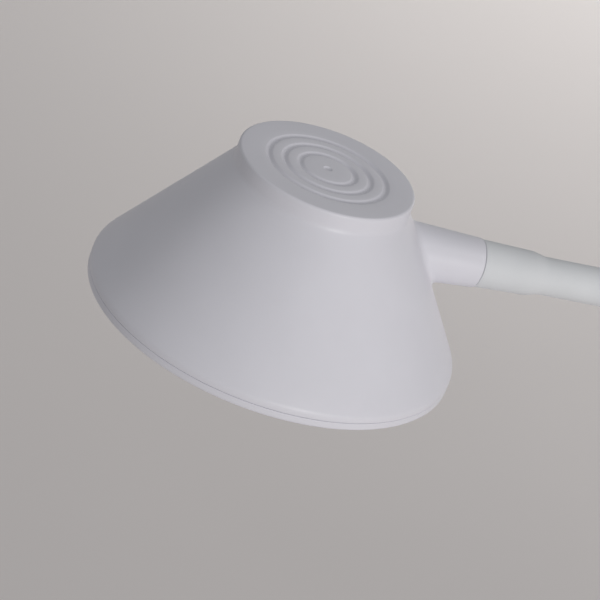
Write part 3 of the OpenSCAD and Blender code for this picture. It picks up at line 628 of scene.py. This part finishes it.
def make_finishes():
    """Every finish by its material slot."""
    colours = bpy.context.scene.lamp_colours
    shade, silicone = tuple(colours.shade), tuple(colours.silicone)
    made = {
        "shade_plastic": moulded_plastic("shade plastic", shade, 0.4),
        "bezel_plastic": moulded_plastic("bezel plastic", shade, 0.44),
        "clip_plastic": moulded_plastic("clip plastic", shade, 0.5, grain=0.02 * MM),
        "button_plastic": moulded_plastic("button plastic", shaded(shade, 0.97), 0.4),
        "switch_black": moulded_plastic("switch plastic", (0.03, 0.03, 0.032), 0.42, 0.15),
        "opal_diffuser": opal_sheet("opal diffuser", tuple(colours.diffuser)),
        "reflector_white": moulded_plastic("gloss reflector", (0.88, 0.88, 0.87), 0.16, 0.01, 0.03,
                                           0.004 * MM),
        "board_white": circuit_board("white light board", (0.80, 0.80, 0.78), (0.87, 0.87, 0.85)),
        "board_green": circuit_board("green control board", (0.012, 0.09, 0.045), (0.05, 0.26, 0.11)),
        "led_chip": light_chip("light chip", (0.86, 0.66, 0.16)),
        "heat_aluminium": plated_steel("rolled aluminium", (0.62, 0.62, 0.64), 0.36, (1, 0.05, 1)),
        "zinc_steel": plated_steel("zinc-plated steel", (0.56, 0.56, 0.53), 0.34),
        "spring_steel": plated_steel("drawn spring steel", (0.46, 0.46, 0.47), 0.26, (1, 0.2, 1)),
        "black_steel": plated_steel("blackened steel", (0.05, 0.05, 0.055), 0.42),
        "socket_steel": plated_steel("socket shell", (0.66, 0.65, 0.63), 0.24, (0.2, 1, 1)),
        "silicone": soft_silicone("silicone sleeve", silicone),
        "gooseneck_steel": wound_steel("wound gooseneck", (0.42, 0.43, 0.45)),
        "lead_jacket": cable_jacket("lead jacket", (0.02, 0.02, 0.022)),
        "pad_rubber": grip_rubber("pad rubber", tuple(colours.pads)),
        "battery_wrap": shrink_wrap("battery wrap", (0.08, 0.20, 0.42)),
        "clear_lens": clear_plastic("status lens plastic"),
    }
    return {slot: finish.material for slot, finish in made.items()}


FINISHES = {}


def dress(piece, slot):
    piece.data.materials.clear()
    piece.data.materials.append(FINISHES[slot])


# ---- the lamp's frames and lines ----


def arm_heading(turn):
    """Direction of the arm after it has turned from upright towards -X."""
    return Vector((-math.sin(turn), 0, math.cos(turn)))


def outward(turn, rise):
    """Direction turned round Z, from the front towards +X, and raised above the horizon."""
    return Vector((math.sin(turn) * math.cos(rise), -math.cos(turn) * math.cos(rise), math.sin(rise)))


def head_place():
    """The shade's own frame: the centre of its top disc, X towards the arm, Z along the lamp axis."""
    sizes = bpy.context.scene.lamp_sizes
    reach = arm_heading(2 * sizes.curve_turn)
    axis = Vector((reach.z, 0, -reach.x))
    origin = pivot("arm_bend_6") + sizes.head_reach * reach + sizes.stub_drop * axis
    return Matrix.Translation(origin) @ Matrix((-reach, Y, axis)).transposed().to_4x4()


def stub_place():
    """The stub's frame in the shade's: Z out along the stub, from the lamp axis."""
    sizes = bpy.context.scene.lamp_sizes
    return Matrix.Translation((0, 0, -sizes.stub_drop)) @ Matrix.Rotation(math.pi / 2, 4, "Y")


def cone_r(depth):
    """Outer radius of the shade's cone at a depth below the top disc."""
    sizes = bpy.context.scene.lamp_sizes
    height = sizes.band_h - sizes.neck_h
    return sizes.disc_r + (depth - sizes.neck_h) * (sizes.rim_r - sizes.disc_r) / height


class ArmLine:
    """The arm's centre line, as straight and curved stretches from a foot height on the riser."""

    def __init__(self, foot):
        sizes = bpy.context.scene.lamp_sizes
        arc = sizes.curve_r * sizes.curve_turn
        self.foot = foot
        self.bends = [pivot(f"arm_bend_{k}").z - foot for k in range(1, 5)]
        self.bends.append(self.bends[3] + 2 * sizes.curve_lead + arc)
        self.bends.append(self.bends[4] + 2 * sizes.curve_lead + arc)
        self.mids = [(a + b) / 2 for a, b in zip(self.bends, self.bends[1:])]
        bend = 1 / sizes.curve_r
        self.stretches = [(self.bends[3] + sizes.curve_lead, 0), (arc, bend), (2 * sizes.curve_lead, 0),
                          (arc, bend), (sizes.curve_lead + sizes.head_reach, 0)]
        self.lamp_axis = sum(stretch for stretch, _ in self.stretches)

    def at(self, distance):
        """(point, turn) at a distance along the line."""
        x, z, turn = 0.0, self.foot, 0.0
        for stretch, bend in self.stretches:
            step = min(distance, stretch) if (stretch, bend) != self.stretches[-1] else distance
            ahead = turn + step * bend
            if bend:
                x += (math.cos(ahead) - math.cos(turn)) / bend
                z += (math.sin(ahead) - math.sin(turn)) / bend
            else:
                x -= step * math.sin(turn)
                z += step * math.cos(turn)
            turn = ahead
            distance -= step
            if distance <= 0:
                break
        return Vector((x, 0, z)), turn

    def ring(self, distance, radius):
        point, turn = self.at(distance)
        return point, Vector((math.cos(turn), 0, math.sin(turn))), Y, radius, distance

    def stations(self, start, end, extra=(), pitch=1.5 * MM):
        """Distances from start to end at about a pitch, with extra ones in place of their neighbours."""
        nearest = 0.3 * MM
        count = max(1, math.ceil((end - start) / pitch))
        even = [start + (end - start) * i / count for i in range(count + 1)]
        near = [s for s in extra if start < s < end]
        kept = [s for s in even if all(abs(s - e) > nearest for e in near) or s in (start, end)]
        return sorted(kept + near)


def blend_over_bend(piece):
    """Bakes the place of piece k of the arm into its mesh."""
    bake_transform(piece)


def arm_nodes(kind, k):
    return [f"arm_{kind}_{k}"] + ([f"arm_{kind}_7"] if k == 6 else [])


# ---- operators ----


class LampOperator(bpy.types.Operator):
    """Shared options of the lamp's operators."""

    bl_options = {"REGISTER", "UNDO"}


class LAMP_OT_finishes(LampOperator):
    """Makes the lamp's finishes and dresses every CAD node in its own"""

    bl_idname = "lamp.make_finishes"
    bl_label = "Finishes"

    def execute(self, context):
        FINISHES.update(make_finishes())
        for node, piece in frame["nodes"].items():
            dress(piece, SLOTS[node])
        return {"FINISHED"}


class LAMP_OT_shade(LampOperator):
    """Turns the shade, its ringed top disc and its stub"""

    bl_idname = "lamp.make_shade"
    bl_label = "Shade"

    def execute(self, context):
        sizes = context.scene.lamp_sizes
        flare = math.atan2(sizes.rim_r - sizes.disc_r, sizes.band_h - sizes.neck_h)
        lift = sizes.wall * (1 / math.cos(flare) - 1) / math.tan(flare)
        dimple_depth = 0.45 * MM
        disc = [(sizes.dimple_r * t, -dimple_depth * (1 - t ** 4))
                for t in (0, 0.3, 0.5, 0.65, 0.8, 0.9, 1)]
        for middle in sizes.groove_rs:
            for t in (i / 8 - 1 for i in range(17)):
                disc.append((middle + t * sizes.groove_w / 2,
                             -sizes.groove_depth * (0.5 + 0.5 * math.cos(math.pi * t))))
        side = rounded([
            (sizes.disc_r - 3 * MM, 0, 0), (sizes.disc_r, 0, sizes.disc_edge),
            (sizes.disc_r, -sizes.neck_h, sizes.neck_fillet), (sizes.rim_r, -sizes.band_h, 5 * MM),
            (sizes.rim_r, -sizes.seam_h, 0.22 * MM), (sizes.rim_r - sizes.wall, -sizes.seam_h, 0.1 * MM),
            (sizes.rim_r - sizes.wall, -sizes.band_h - lift, 0.5 * MM),
            (sizes.disc_r - sizes.wall, -sizes.neck_h - lift, 1 * MM),
            (sizes.disc_r - sizes.wall, -sizes.top_t, 0.6 * MM), (0, -sizes.top_t, 0)])
        shade = turned("shade_shell", densified(disc + side), steps=192)
        stub_wall = rounded([
            (sizes.stub_root_r, sizes.stub_seat, 0.2 * MM), (sizes.stub_end_r, sizes.stub_end, 0.35 * MM),
            (sizes.stub_bore_r, sizes.stub_end, 0.2 * MM), (sizes.stub_bore_r, sizes.stub_seat, 0.2 * MM)])
        stub = turned("stub", densified(stub_wall, closed=True), stub_place(), 96, closed=True)
        join(shade, stub, self.fillet(sizes))
        shade.data.transform(head_place())
        smooth(shade)
        finished(shade, "head", "shade")
        return {"FINISHED"}

    def fillet(self, sizes):
        """The small fillet that runs round the stub where it leaves the cone."""
        steep = (sizes.stub_end_r - sizes.stub_root_r) / (sizes.stub_end - sizes.stub_seat)
        flare = (sizes.rim_r - sizes.disc_r) / (sizes.band_h - sizes.neck_h)

        def on_stub(x, turn):
            r = sizes.stub_root_r + (x - sizes.stub_seat) * steep
            return Vector((x, r * math.cos(turn), r * math.sin(turn) - sizes.stub_drop))

        def outside(point):
            return math.hypot(point.x, point.y) - cone_r(-point.z)

        sides, curve, halvings = 96, 10, 40
        sink = 0.8 * MM  # how deep the fillet's hidden side lies under the two surfaces
        rings = []
        for j in range(sides):
            turn = math.tau * j / sides
            near, far = sizes.stub_seat, sizes.stub_end
            for _ in range(halvings):
                middle = (near + far) / 2
                near, far = (middle, far) if outside(on_stub(middle, turn)) < 0 else (near, middle)
            meet = on_stub(near, turn)
            out = Vector((meet.x, meet.y, 0)).normalized()
            normal = (out + flare * Z).normalized()
            spoke = Vector((0, math.cos(turn), math.sin(turn)))
            down_cone = (spoke - spoke.dot(normal) * normal).normalized()
            foot = meet + sizes.stub_fillet * down_cone
            wide = Vector((foot.x, foot.y, 0))
            foot = wide.normalized() * cone_r(-foot.z) + foot.z * Z
            top = on_stub(near + sizes.stub_fillet, turn)
            section = [(1 - t) ** 2 * top + 2 * t * (1 - t) * meet + t * t * foot
                       for t in (i / curve for i in range(curve + 1))]
            section += [foot - sink * normal, meet - sink * (normal + spoke), top - sink * spoke]
            rings.append(section)
        piece, spots = grid("stub_fillet", sides, len(rings[0]))
        for vertex, (row, column) in zip(piece.data.vertices, spots):
            vertex.co = rings[row % sides][column % len(rings[0])]
        close_up(piece)
        return piece


def densified(outline, closed=False, longest=4 * MM):
    """The outline with its long straight runs divided, so that faces stay well shaped."""
    dense = []
    count = len(outline)
    for i, point in enumerate(outline):
        dense.append(tuple(point))
        if i == count - 1 and not closed:
            break
        here, ahead = Vector(point), Vector(outline[(i + 1) % count])
        pieces = math.ceil((ahead - here).length / longest)
        dense += [tuple(here.lerp(ahead, j / pieces)) for j in range(1, pieces)]
    return dense


class LAMP_OT_light_face(LampOperator):
    """Turns the bezel ring and the diffuser under the shade"""

    bl_idname = "lamp.make_light_face"
    bl_label = "Bezel and diffuser"

    def execute(self, context):
        sizes = context.scene.lamp_sizes
        skirt = sizes.rim_r - sizes.wall - 0.2 * MM
        skirt_top = 1 * MM - sizes.seam_h
        skirt_t, sheet_inset, sheet_t = 1.2 * MM, 1.3 * MM, 1.6 * MM
        lip_r, lip_top = sizes.rim_r - sizes.lip_w, sizes.lip_t - sizes.shade_h
        ring = rounded([
            (lip_r, -sizes.shade_h, 0.3 * MM), (sizes.rim_r, -sizes.shade_h, 0.6 * MM),
            (sizes.rim_r, -sizes.seam_h - sizes.seam_gap, 0.25 * MM),
            (skirt, -sizes.seam_h - sizes.seam_gap, 0), (skirt, skirt_top, 0.2 * MM),
            (skirt - skirt_t, skirt_top, 0.2 * MM), (skirt - skirt_t, lip_top, 0),
            (lip_r, lip_top, 0.15 * MM)])
        bezel = turned("bezel_ring", densified(ring, closed=True), head_place(), 192, True)
        smooth(bezel)
        finished(bezel, "head", "diffuser_bezel")
        edge, upper = skirt - sheet_inset, lip_top + sheet_t
        sheet = rounded([
            (0, upper, 0), (edge, upper, 0.3 * MM),
            (edge, upper - sheet_t, 0.3 * MM), (0, upper - sheet_t, 0)])
        diffuser = turned("diffuser_sheet", densified(sheet), head_place(), 144)
        smooth(diffuser)
        finished(diffuser, "head", "diffuser")
        return {"FINISHED"}


class LAMP_OT_arm(LampOperator):
    """Draws the silicone sleeve, the wound gooseneck and the lead along the arm, a piece to each bend"""

    bl_idname = "lamp.make_arm"
    bl_label = "Arm"

    def execute(self, context):
        sizes = context.scene.lamp_sizes
        sleeve_foot = low("arm_sleeve_1").z
        line = ArmLine(sleeve_foot)
        tip = line.lamp_axis - sizes.stub_end - 0.2 * MM
        self.sleeve(sizes, line, tip)
        core_line = ArmLine(low("arm_core_1").z)
        core_inset = 7.1 * MM
        core_tip = core_line.lamp_axis - sizes.stub_end - core_inset
        self.tube(core_line, "core", "gooseneck", core_tip, sizes.core_r, sizes.core_bore_r)
        lead_line = ArmLine(low("arm_lead_1").z)
        elbow, elbow_inset, board_depth = 8 * MM, 14 * MM, 34.1 * MM
        lead_line.stretches[-1] = (lead_line.stretches[-1][0] - elbow_inset, 0)
        drop = board_depth - sizes.stub_drop - elbow
        lead_line.stretches += [(elbow * math.pi / 2, 1 / elbow), (drop, 0)]
        lead_tip = sum(stretch for stretch, _ in lead_line.stretches)
        self.tube(lead_line, "lead", "lead", lead_tip, sizes.lead_r, 0)
        return {"FINISHED"}

    def sleeve(self, sizes, line, tip):
        def outer(distance):
            near = min(distance, tip - distance)
            if near < sizes.boot_l:
                radius = sizes.boot_r + (sizes.boot_small_r - sizes.boot_r) * near / sizes.boot_l
            else:
                t = min(1, (near - sizes.boot_l) / sizes.boot_shoulder)
                radius = sizes.boot_small_r + (sizes.sleeve_r - sizes.boot_small_r) * t * t * (3 - 2 * t)
            rounding = 0.3 * MM
            if near < rounding:
                radius -= rounding - math.sqrt(max(0, rounding ** 2 - (rounding - near) ** 2))
            return radius

        edge = [0.03 * MM, 0.08 * MM, 0.16 * MM, 0.3 * MM]
        shoulder = [sizes.boot_l + sizes.boot_shoulder * i / 8 for i in range(9)]
        extra = edge + shoulder + [tip - s for s in edge + shoulder]
        grip, grip_bore_r = 18 * MM, 5.1 * MM

        def inner(distance):
            return grip_bore_r if min(distance, tip - distance) < grip else sizes.sleeve_bore_r

        step = [grip - 0.01 * MM, grip + 0.01 * MM]
        step += [tip - s for s in step]
        bounds = [0.0, *line.mids, tip]
        for k in range(1, 7):
            start, end = bounds[k - 1], bounds[k]
            rings = [line.ring(s, outer(s)) for s in line.stations(start, end, extra)]
            rings += [line.ring(s, inner(s)) for s in reversed(line.stations(start, end, step, 3 * MM))]
            piece = swept(f"silicone_sleeve_{k}", rings, 48, closed=True)
            smooth(piece, 40)
            finished(piece, None, *arm_nodes("sleeve", k))
            blend_over_bend(piece)

    def tube(self, line, kind, name, tip, radius, bore):
        bounds = [0.0, *line.mids, tip]
        for k in range(1, 7):
            stations = line.stations(bounds[k - 1], bounds[k], (), 2 * MM)
            if bore:
                rings = [line.ring(s, radius) for s in stations]
                rings += [line.ring(s, bore) for s in reversed(stations)]
            else:
                rings = [line.ring(stations[0], 0), *[line.ring(s, radius) for s in stations],
                         line.ring(stations[-1], 0)]
            piece = swept(f"{name}_{k}", rings, 24 if bore else 16, closed=bool(bore))
            smooth(piece, 40)
            finished(piece, None, *arm_nodes(kind, k))
            blend_over_bend(piece)


class LAMP_OT_housing(LampOperator):
    """Shapes the clip's two shells and the collar under the arm"""

    bl_idname = "lamp.make_housing"
    bl_label = "Clip housing"

    def execute(self, context):
        sizes = context.scene.lamp_sizes
        self.bottom = clip_underside()
        self.cover(sizes)
        self.base(sizes)
        self.collar(sizes)
        return {"FINISHED"}

    def shell(self, name, sizes, plane, keep_above):
        """Half of the housing's pebble, opened at the seam and given its wall."""
        lowest, highest = low("clip_cover"), high("clip_cover")
        piece = rounded_block(name, (lowest.x, lowest.y, self.bottom), highest,
                              sizes.corner_r, sizes.top_round, sizes.bottom_round)
        edit(piece)
        bpy.ops.mesh.bisect(plane_co=(0, 0, plane), plane_no=(0, 0, 1),
                            clear_inner=keep_above, clear_outer=not keep_above)
        modify(piece, "SOLIDIFY", thickness=sizes.clip_wall, offset=-1, use_even_offset=True)
        centre = (lowest + highest) / 2

        def on_outer_rim(a, b):
            middle = (a + b) / 2
            inset = max(abs(middle.x - centre.x) - (highest.x - centre.x - sizes.corner_r), 0)
            aside = max(abs(middle.y) - (highest.y - sizes.corner_r), 0)
            return (abs(a.z - plane) < TINY and abs(b.z - plane) < TINY
                    and math.hypot(inset, aside) > sizes.corner_r - 0.5 * MM)

        pick_edges(piece, on_outer_rim)
        bpy.ops.mesh.bevel(offset=0.25 * MM, segments=3, affect="EDGES")
        close_up(piece)
        return piece

    def cover(self, sizes):
        seam = low("clip_cover").z + sizes.seam_gap / 2
        roof = high("clip_cover").z
        back = high("clip_cover").x
        cover = self.shell("clip_cover_shell", sizes, seam, True)
        socket = middle_of("usb_socket")
        deep, proud = 4 * MM, 1 * MM

        def roof_hole(x, radius, sides):
            return rod(radius, (x, 0, roof - deep), (x, 0, roof + proud), sides)

        holes = [roof_hole(middle_of("power_button").x, sizes.button_r + sizes.button_gap, 96),
                 roof_hole(middle_of("status_lens").x, 1.25 * MM, 32), roof_hole(0, ARM_BORE_R, 64)]
        half, wide = 1.8 * MM, 2.9 * MM
        slot = block((back - deep, -wide, socket.z - half), (back + proud, wide, socket.z + half))
        slot_ends = [rod(half, (back - deep, y, socket.z), (back + proud, y, socket.z), 32)
                     for y in (-wide, wide)]
        groove_r, groove_reach, level = 1.1 * MM, 9 * MM, roof + 0.6 * MM
        first_groove, pitch = 6 * MM, 3.4 * MM
        grooves = [rod(groove_r, (x, -groove_reach, level), (x, groove_reach, level), 24)
                   for x in (back - first_groove - i * pitch for i in range(5))]
        cut(cover, *holes, slot, *slot_ends, *grooves)
        smooth(cover, 28)
        finished(cover, "clip", "clip_cover")

    def base(self, sizes):
        seam = low("clip_cover").z - sizes.seam_gap / 2
        base = self.shell("clip_base_shell", sizes, seam, False)
        pin = pivot("jaw_hinge")
        ear_r, ear_inner, ear_outer = 7 * MM, 10 * MM, 14 * MM
        lugs = []
        for side in (-1, 1):
            y0, y1 = sorted((side * ear_inner, side * ear_outer))
            lugs.append(rod(ear_r, (pin.x, y0, pin.z), (pin.x, y1, pin.z)))
            lugs.append(block((pin.x - ear_r, y0, pin.z), (pin.x + ear_r, y1, self.bottom + 1 * MM)))
        cut(base, *lugs, operation="UNION")
        slack = 0.1 * MM * Vector((1, 1, 0))
        floor = Vector((*low("upper_pad").xy, self.bottom - 1 * MM))
        holes = [rounded_block("pocket", floor - slack, high("upper_pad") + slack, 3.1 * MM, 0, 0)]
        pin_hole_r, screw_r, across = 2.55 * MM, 2.7 * MM, 20 * MM
        holes.append(rod(pin_hole_r, (pin.x, -across, pin.z), (pin.x, across, pin.z)))
        screw_top = high("case_screws").z
        for x, y in ((22 * MM, 15.5 * MM), (60 * MM, 13 * MM)):
            for side in (-1, 1):
                foot, top = (x, side * y, self.bottom - 1 * MM), (x, side * y, screw_top)
                holes.append(rod(screw_r, foot, top, 40))
        cut(base, *holes)
        smooth(base, 28)
        finished(base, "clip", "clip_base")

    def collar(self, sizes):
        foot, top = low("arm_collar").z, high("arm_collar").z
        wide = high("arm_collar").x
        band, waist = 1.5 * MM, 3.4 * MM
        outline = rounded([
            (ARM_BORE_R, foot, 0), (wide, foot, 0.15 * MM), (wide, foot + band, 0.7 * MM),
            (sizes.stub_end_r + 1.6 * MM, foot + waist, 4 * MM),
            (sizes.stub_end_r, top, 0.4 * MM), (ARM_BORE_R, top, 0.2 * MM)])
        collar = turned("arm_collar_cone", densified(outline, closed=True), steps=96, closed=True)
        smooth(collar)
        finished(collar, "clip", "arm_collar")


class LAMP_OT_button(LampOperator):
    """Turns the power button with its dished top and shoulder"""

    bl_idname = "lamp.make_button"
    bl_label = "Power button"

    def execute(self, context):
        sizes = context.scene.lamp_sizes
        lowest, highest = low("power_button"), high("power_button")
        middle = middle_of("power_button")
        flange = (highest.x - lowest.x) / 2
        ceiling = low("arm_collar").z - sizes.clip_wall - sizes.button_gap
        plunger_r, plunger_top = 2.5 * MM, lowest.z + 0.4 * MM
        dish = ((0, 0.45 * MM), (2 * MM, 0.4 * MM), (3.6 * MM, 0.22 * MM))
        outline = [(r, highest.z - dip) for r, dip in dish]
        outline += rounded([
            (4.6 * MM, highest.z - 0.02 * MM, 0), (sizes.button_r, highest.z, 0.7 * MM),
            (sizes.button_r, ceiling, 0.1 * MM), (flange, ceiling, 0.15 * MM),
            (flange, plunger_top, 0.15 * MM), (plunger_r, plunger_top, 0), (plunger_r, lowest.z, 0),
            (0, lowest.z, 0)])
        button = turned("power_button_cap", outline, Matrix.Translation((middle.x, middle.y, 0)), 96)
        smooth(button)
        finished(button, "power_button", "power_button")
        return {"FINISHED"}


class LAMP_OT_jaws(LampOperator):
    """Shapes the lower jaw, the two gripping pads, the hinge pin and its ring"""

    bl_idname = "lamp.make_jaws"
    bl_label = "Jaws"

    def execute(self, context):
        finished(softened("lower_jaw", "lower_jaw_moulding", 0.8 * MM, 4), "lower_jaw", "lower_jaw")
        for node, body in (("upper_pad", "clip"), ("lower_pad", "lower_jaw")):
            finished(softened(node, node + "_moulding", 0.25 * MM, 3), body, node)
        finished(softened("hinge_pin", "hinge_pin_turned", 0.3 * MM, 3), "clip", "hinge_pin")
        finished(softened("pin_ring", "pin_retaining_ring", 0.08 * MM, 2), "clip", "pin_ring")
        return {"FINISHED"}


class LAMP_OT_spring(LampOperator):
    """Winds the jaw's torsion spring round its pin"""

    bl_idname = "lamp.make_spring"
    bl_label = "Jaw spring"

    def execute(self, context):
        sizes = context.scene.lamp_sizes
        pin = pivot("jaw_hinge")
        slack = 0.1 * MM
        rise = math.asin((clip_underside() - pin.z - sizes.coil_r - sizes.wire_r - slack)
                         / (sizes.leg_l * 1.05))
        first, last = math.pi / 2 + rise, 1.5 * math.pi - sizes.jaw_tilt
        turns, turn_steps, leg_steps = 5, 40, 8
        sweep = math.tau * turns + last - first

        def on_coil(t):
            spin = first + sweep * t
            return pin + Vector((sizes.coil_r * math.cos(spin), sizes.coil_l * (t - 0.5),
                                 sizes.coil_r * math.sin(spin)))

        def leg(turn, reach):
            return reach * Vector((math.cos(turn), 0, math.sin(turn)))

        path = [on_coil(0) + leg(rise, sizes.leg_l * (1 - i / leg_steps)) for i in range(leg_steps)]
        path += [on_coil(i / (turns * turn_steps)) for i in range(turns * turn_steps + 1)]
        path += [on_coil(1) + leg(-sizes.jaw_tilt, sizes.leg_l * i / leg_steps)
                 for i in range(1, leg_steps + 1)]
        blunt, blunt_r = 0.12 * MM, 0.8 * sizes.wire_r
        rings, distance = [], 0.0
        for i, point in enumerate(path):
            ahead = (path[min(i + 1, len(path) - 1)] - path[max(i - 1, 0)]).normalized()
            across = (Y - Y.dot(ahead) * ahead).normalized()
            distance += (point - path[max(i - 1, 0)]).length
            ring = (point, across, ahead.cross(across))
            if i == 0:
                rings += [(*ring, 0, distance), (*ring, blunt_r, distance)]
                ring = (point + blunt * ahead, *ring[1:])
            if i == len(path) - 1:
                rings += [(point - blunt * ahead, *ring[1:], sizes.wire_r, distance),
                          (*ring, blunt_r, distance), (*ring, 0, distance)]
            else:
                rings.append((*ring, sizes.wire_r, distance))
        spring = swept("torsion_spring_wire", rings, 14)
        smooth(spring, 50)
        finished(spring, None, "torsion_spring")
        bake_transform(spring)
        return {"FINISHED"}


class LAMP_OT_stage(LampOperator):
    """Lays the pale floor, hangs the soft lights and sets the camera"""

    bl_idname = "lamp.make_stage"
    bl_label = "Floor, lights and camera"

    def execute(self, context):
        stage = context.scene.lamp_stage
        self.floor(context)
        target = head_place().translation
        self.aimed("key light", target, turn=16, rise=6, distance=1.5,
                   size=0.6, power=stage.key_power, tint=(1.0, 0.985, 0.975))
        self.aimed("side light", target, turn=62, rise=28, distance=1.2,
                   size=0.22, power=stage.side_power, tint=(1.0, 0.985, 0.985))
        self.light("floor light", (0.52, 1.02, 0.46),
                   size=0.7, power=stage.pool_power, tint=(1.0, 0.985, 0.97))
        world = bpy.data.worlds.new("studio")
        world.use_nodes = True
        sky = world.node_tree.nodes["Background"]
        sky.inputs["Color"].default_value = (0.985, 0.985, 1.0, 1)
        sky.inputs["Strength"].default_value = stage.sky
        context.scene.world = world
        context.scene.view_settings.view_transform = "Standard"
        context.scene.view_settings.look = "None"
        self.camera(context, stage, target)
        return {"FINISHED"}

    def floor(self, context):
        start_clean()
        lowest = CAD_BOX[0][2] - 0.5 * MM
        bpy.ops.mesh.primitive_circle_add(vertices=128, radius=7, fill_type="NGON", location=(0, 0, lowest))
        floor = named("studio_floor")
        bpy.ops.object.transform_apply(location=True, rotation=True, scale=True)
        tint = tuple(context.scene.lamp_colours.floor)
        finish = Finish("painted floor", 0.75, specular=0.25)
        finish.paint(finish.noise(2.4, 2), shaded(tint, 0.985), shaded(tint, 1.015))
        finish.polish(finish.noise(30, 2), 0.05)
        floor.data.materials.append(finish.material)

    def light(self, name, place, size, power, tint):
        """A round soft light that shines straight down."""
        light = bpy.data.objects.new(name, bpy.data.lights.new(name, "AREA"))
        light.data.shape = "DISK"
        light.data.size = size
        light.data.energy = power
        light.data.color = tint
        light.location = place
        bpy.context.scene.collection.objects.link(light)
        return light

    def aimed(self, name, target, turn, rise, distance, **settings):
        """A round soft light turned round its target, from the front towards +X, and raised above it."""
        away = outward(math.radians(turn), math.radians(rise))
        light = self.light(name, target + distance * away, **settings)
        light.rotation_mode = "QUATERNION"
        light.rotation_quaternion = away.to_track_quat("Z", "Y")

    def camera(self, context, stage, target):
        camera = bpy.data.objects.new("camera", bpy.data.cameras.new("camera"))
        camera.data.sensor_width = 36
        camera.data.lens = stage.lens
        camera.data.clip_start, camera.data.clip_end = 0.05, 40
        back = outward(stage.camera_azimuth, stage.camera_elevation)
        camera.rotation_mode = "QUATERNION"
        camera.rotation_quaternion = (
            (-back).to_track_quat("-Z", "Y") @ Matrix.Rotation(stage.camera_roll, 3, "Z").to_quaternion())
        camera.location = target + Vector(stage.aim) + stage.camera_distance * back
        context.scene.collection.objects.link(camera)
        context.scene.camera = camera


OPERATORS = (
    LAMP_OT_finishes, LAMP_OT_stage, LAMP_OT_shade, LAMP_OT_light_face, LAMP_OT_arm,
    LAMP_OT_housing, LAMP_OT_button, LAMP_OT_jaws, LAMP_OT_spring,
)


class LAMP_PT_panel(bpy.types.Panel):
    """The lamp's pieces and sizes"""

    bl_idname = "LAMP_PT_panel"
    bl_label = "Reading Lamp"
    bl_space_type = "VIEW_3D"
    bl_region_type = "UI"
    bl_category = "Reading Lamp"

    def draw(self, context):
        column = self.layout.column(align=True)
        for operator in OPERATORS:
            column.operator(operator.bl_idname)
        for group in (context.scene.lamp_sizes, context.scene.lamp_colours, context.scene.lamp_stage):
            box = self.layout.box()
            for name in group.__annotations__:
                box.prop(group, name)


CLASSES = (LampSizes, LampColours, StageSettings, *OPERATORS, LAMP_PT_panel)


def register():
    for group in CLASSES:
        bpy.utils.register_class(group)
    bpy.types.Scene.lamp_sizes = bpy.props.PointerProperty(type=LampSizes)
    bpy.types.Scene.lamp_colours = bpy.props.PointerProperty(type=LampColours)
    bpy.types.Scene.lamp_stage = bpy.props.PointerProperty(type=StageSettings)


def unregister():
    del bpy.types.Scene.lamp_stage
    del bpy.types.Scene.lamp_colours
    del bpy.types.Scene.lamp_sizes
    for group in reversed(CLASSES):
        bpy.utils.unregister_class(group)


def main():
    register()
    for operator in OPERATORS:
        group, name = operator.bl_idname.split(".")
        getattr(getattr(bpy.ops, group), name)()
    start_clean()
    bpy.context.view_layer.update()


if __name__ == "__main__":
    main()
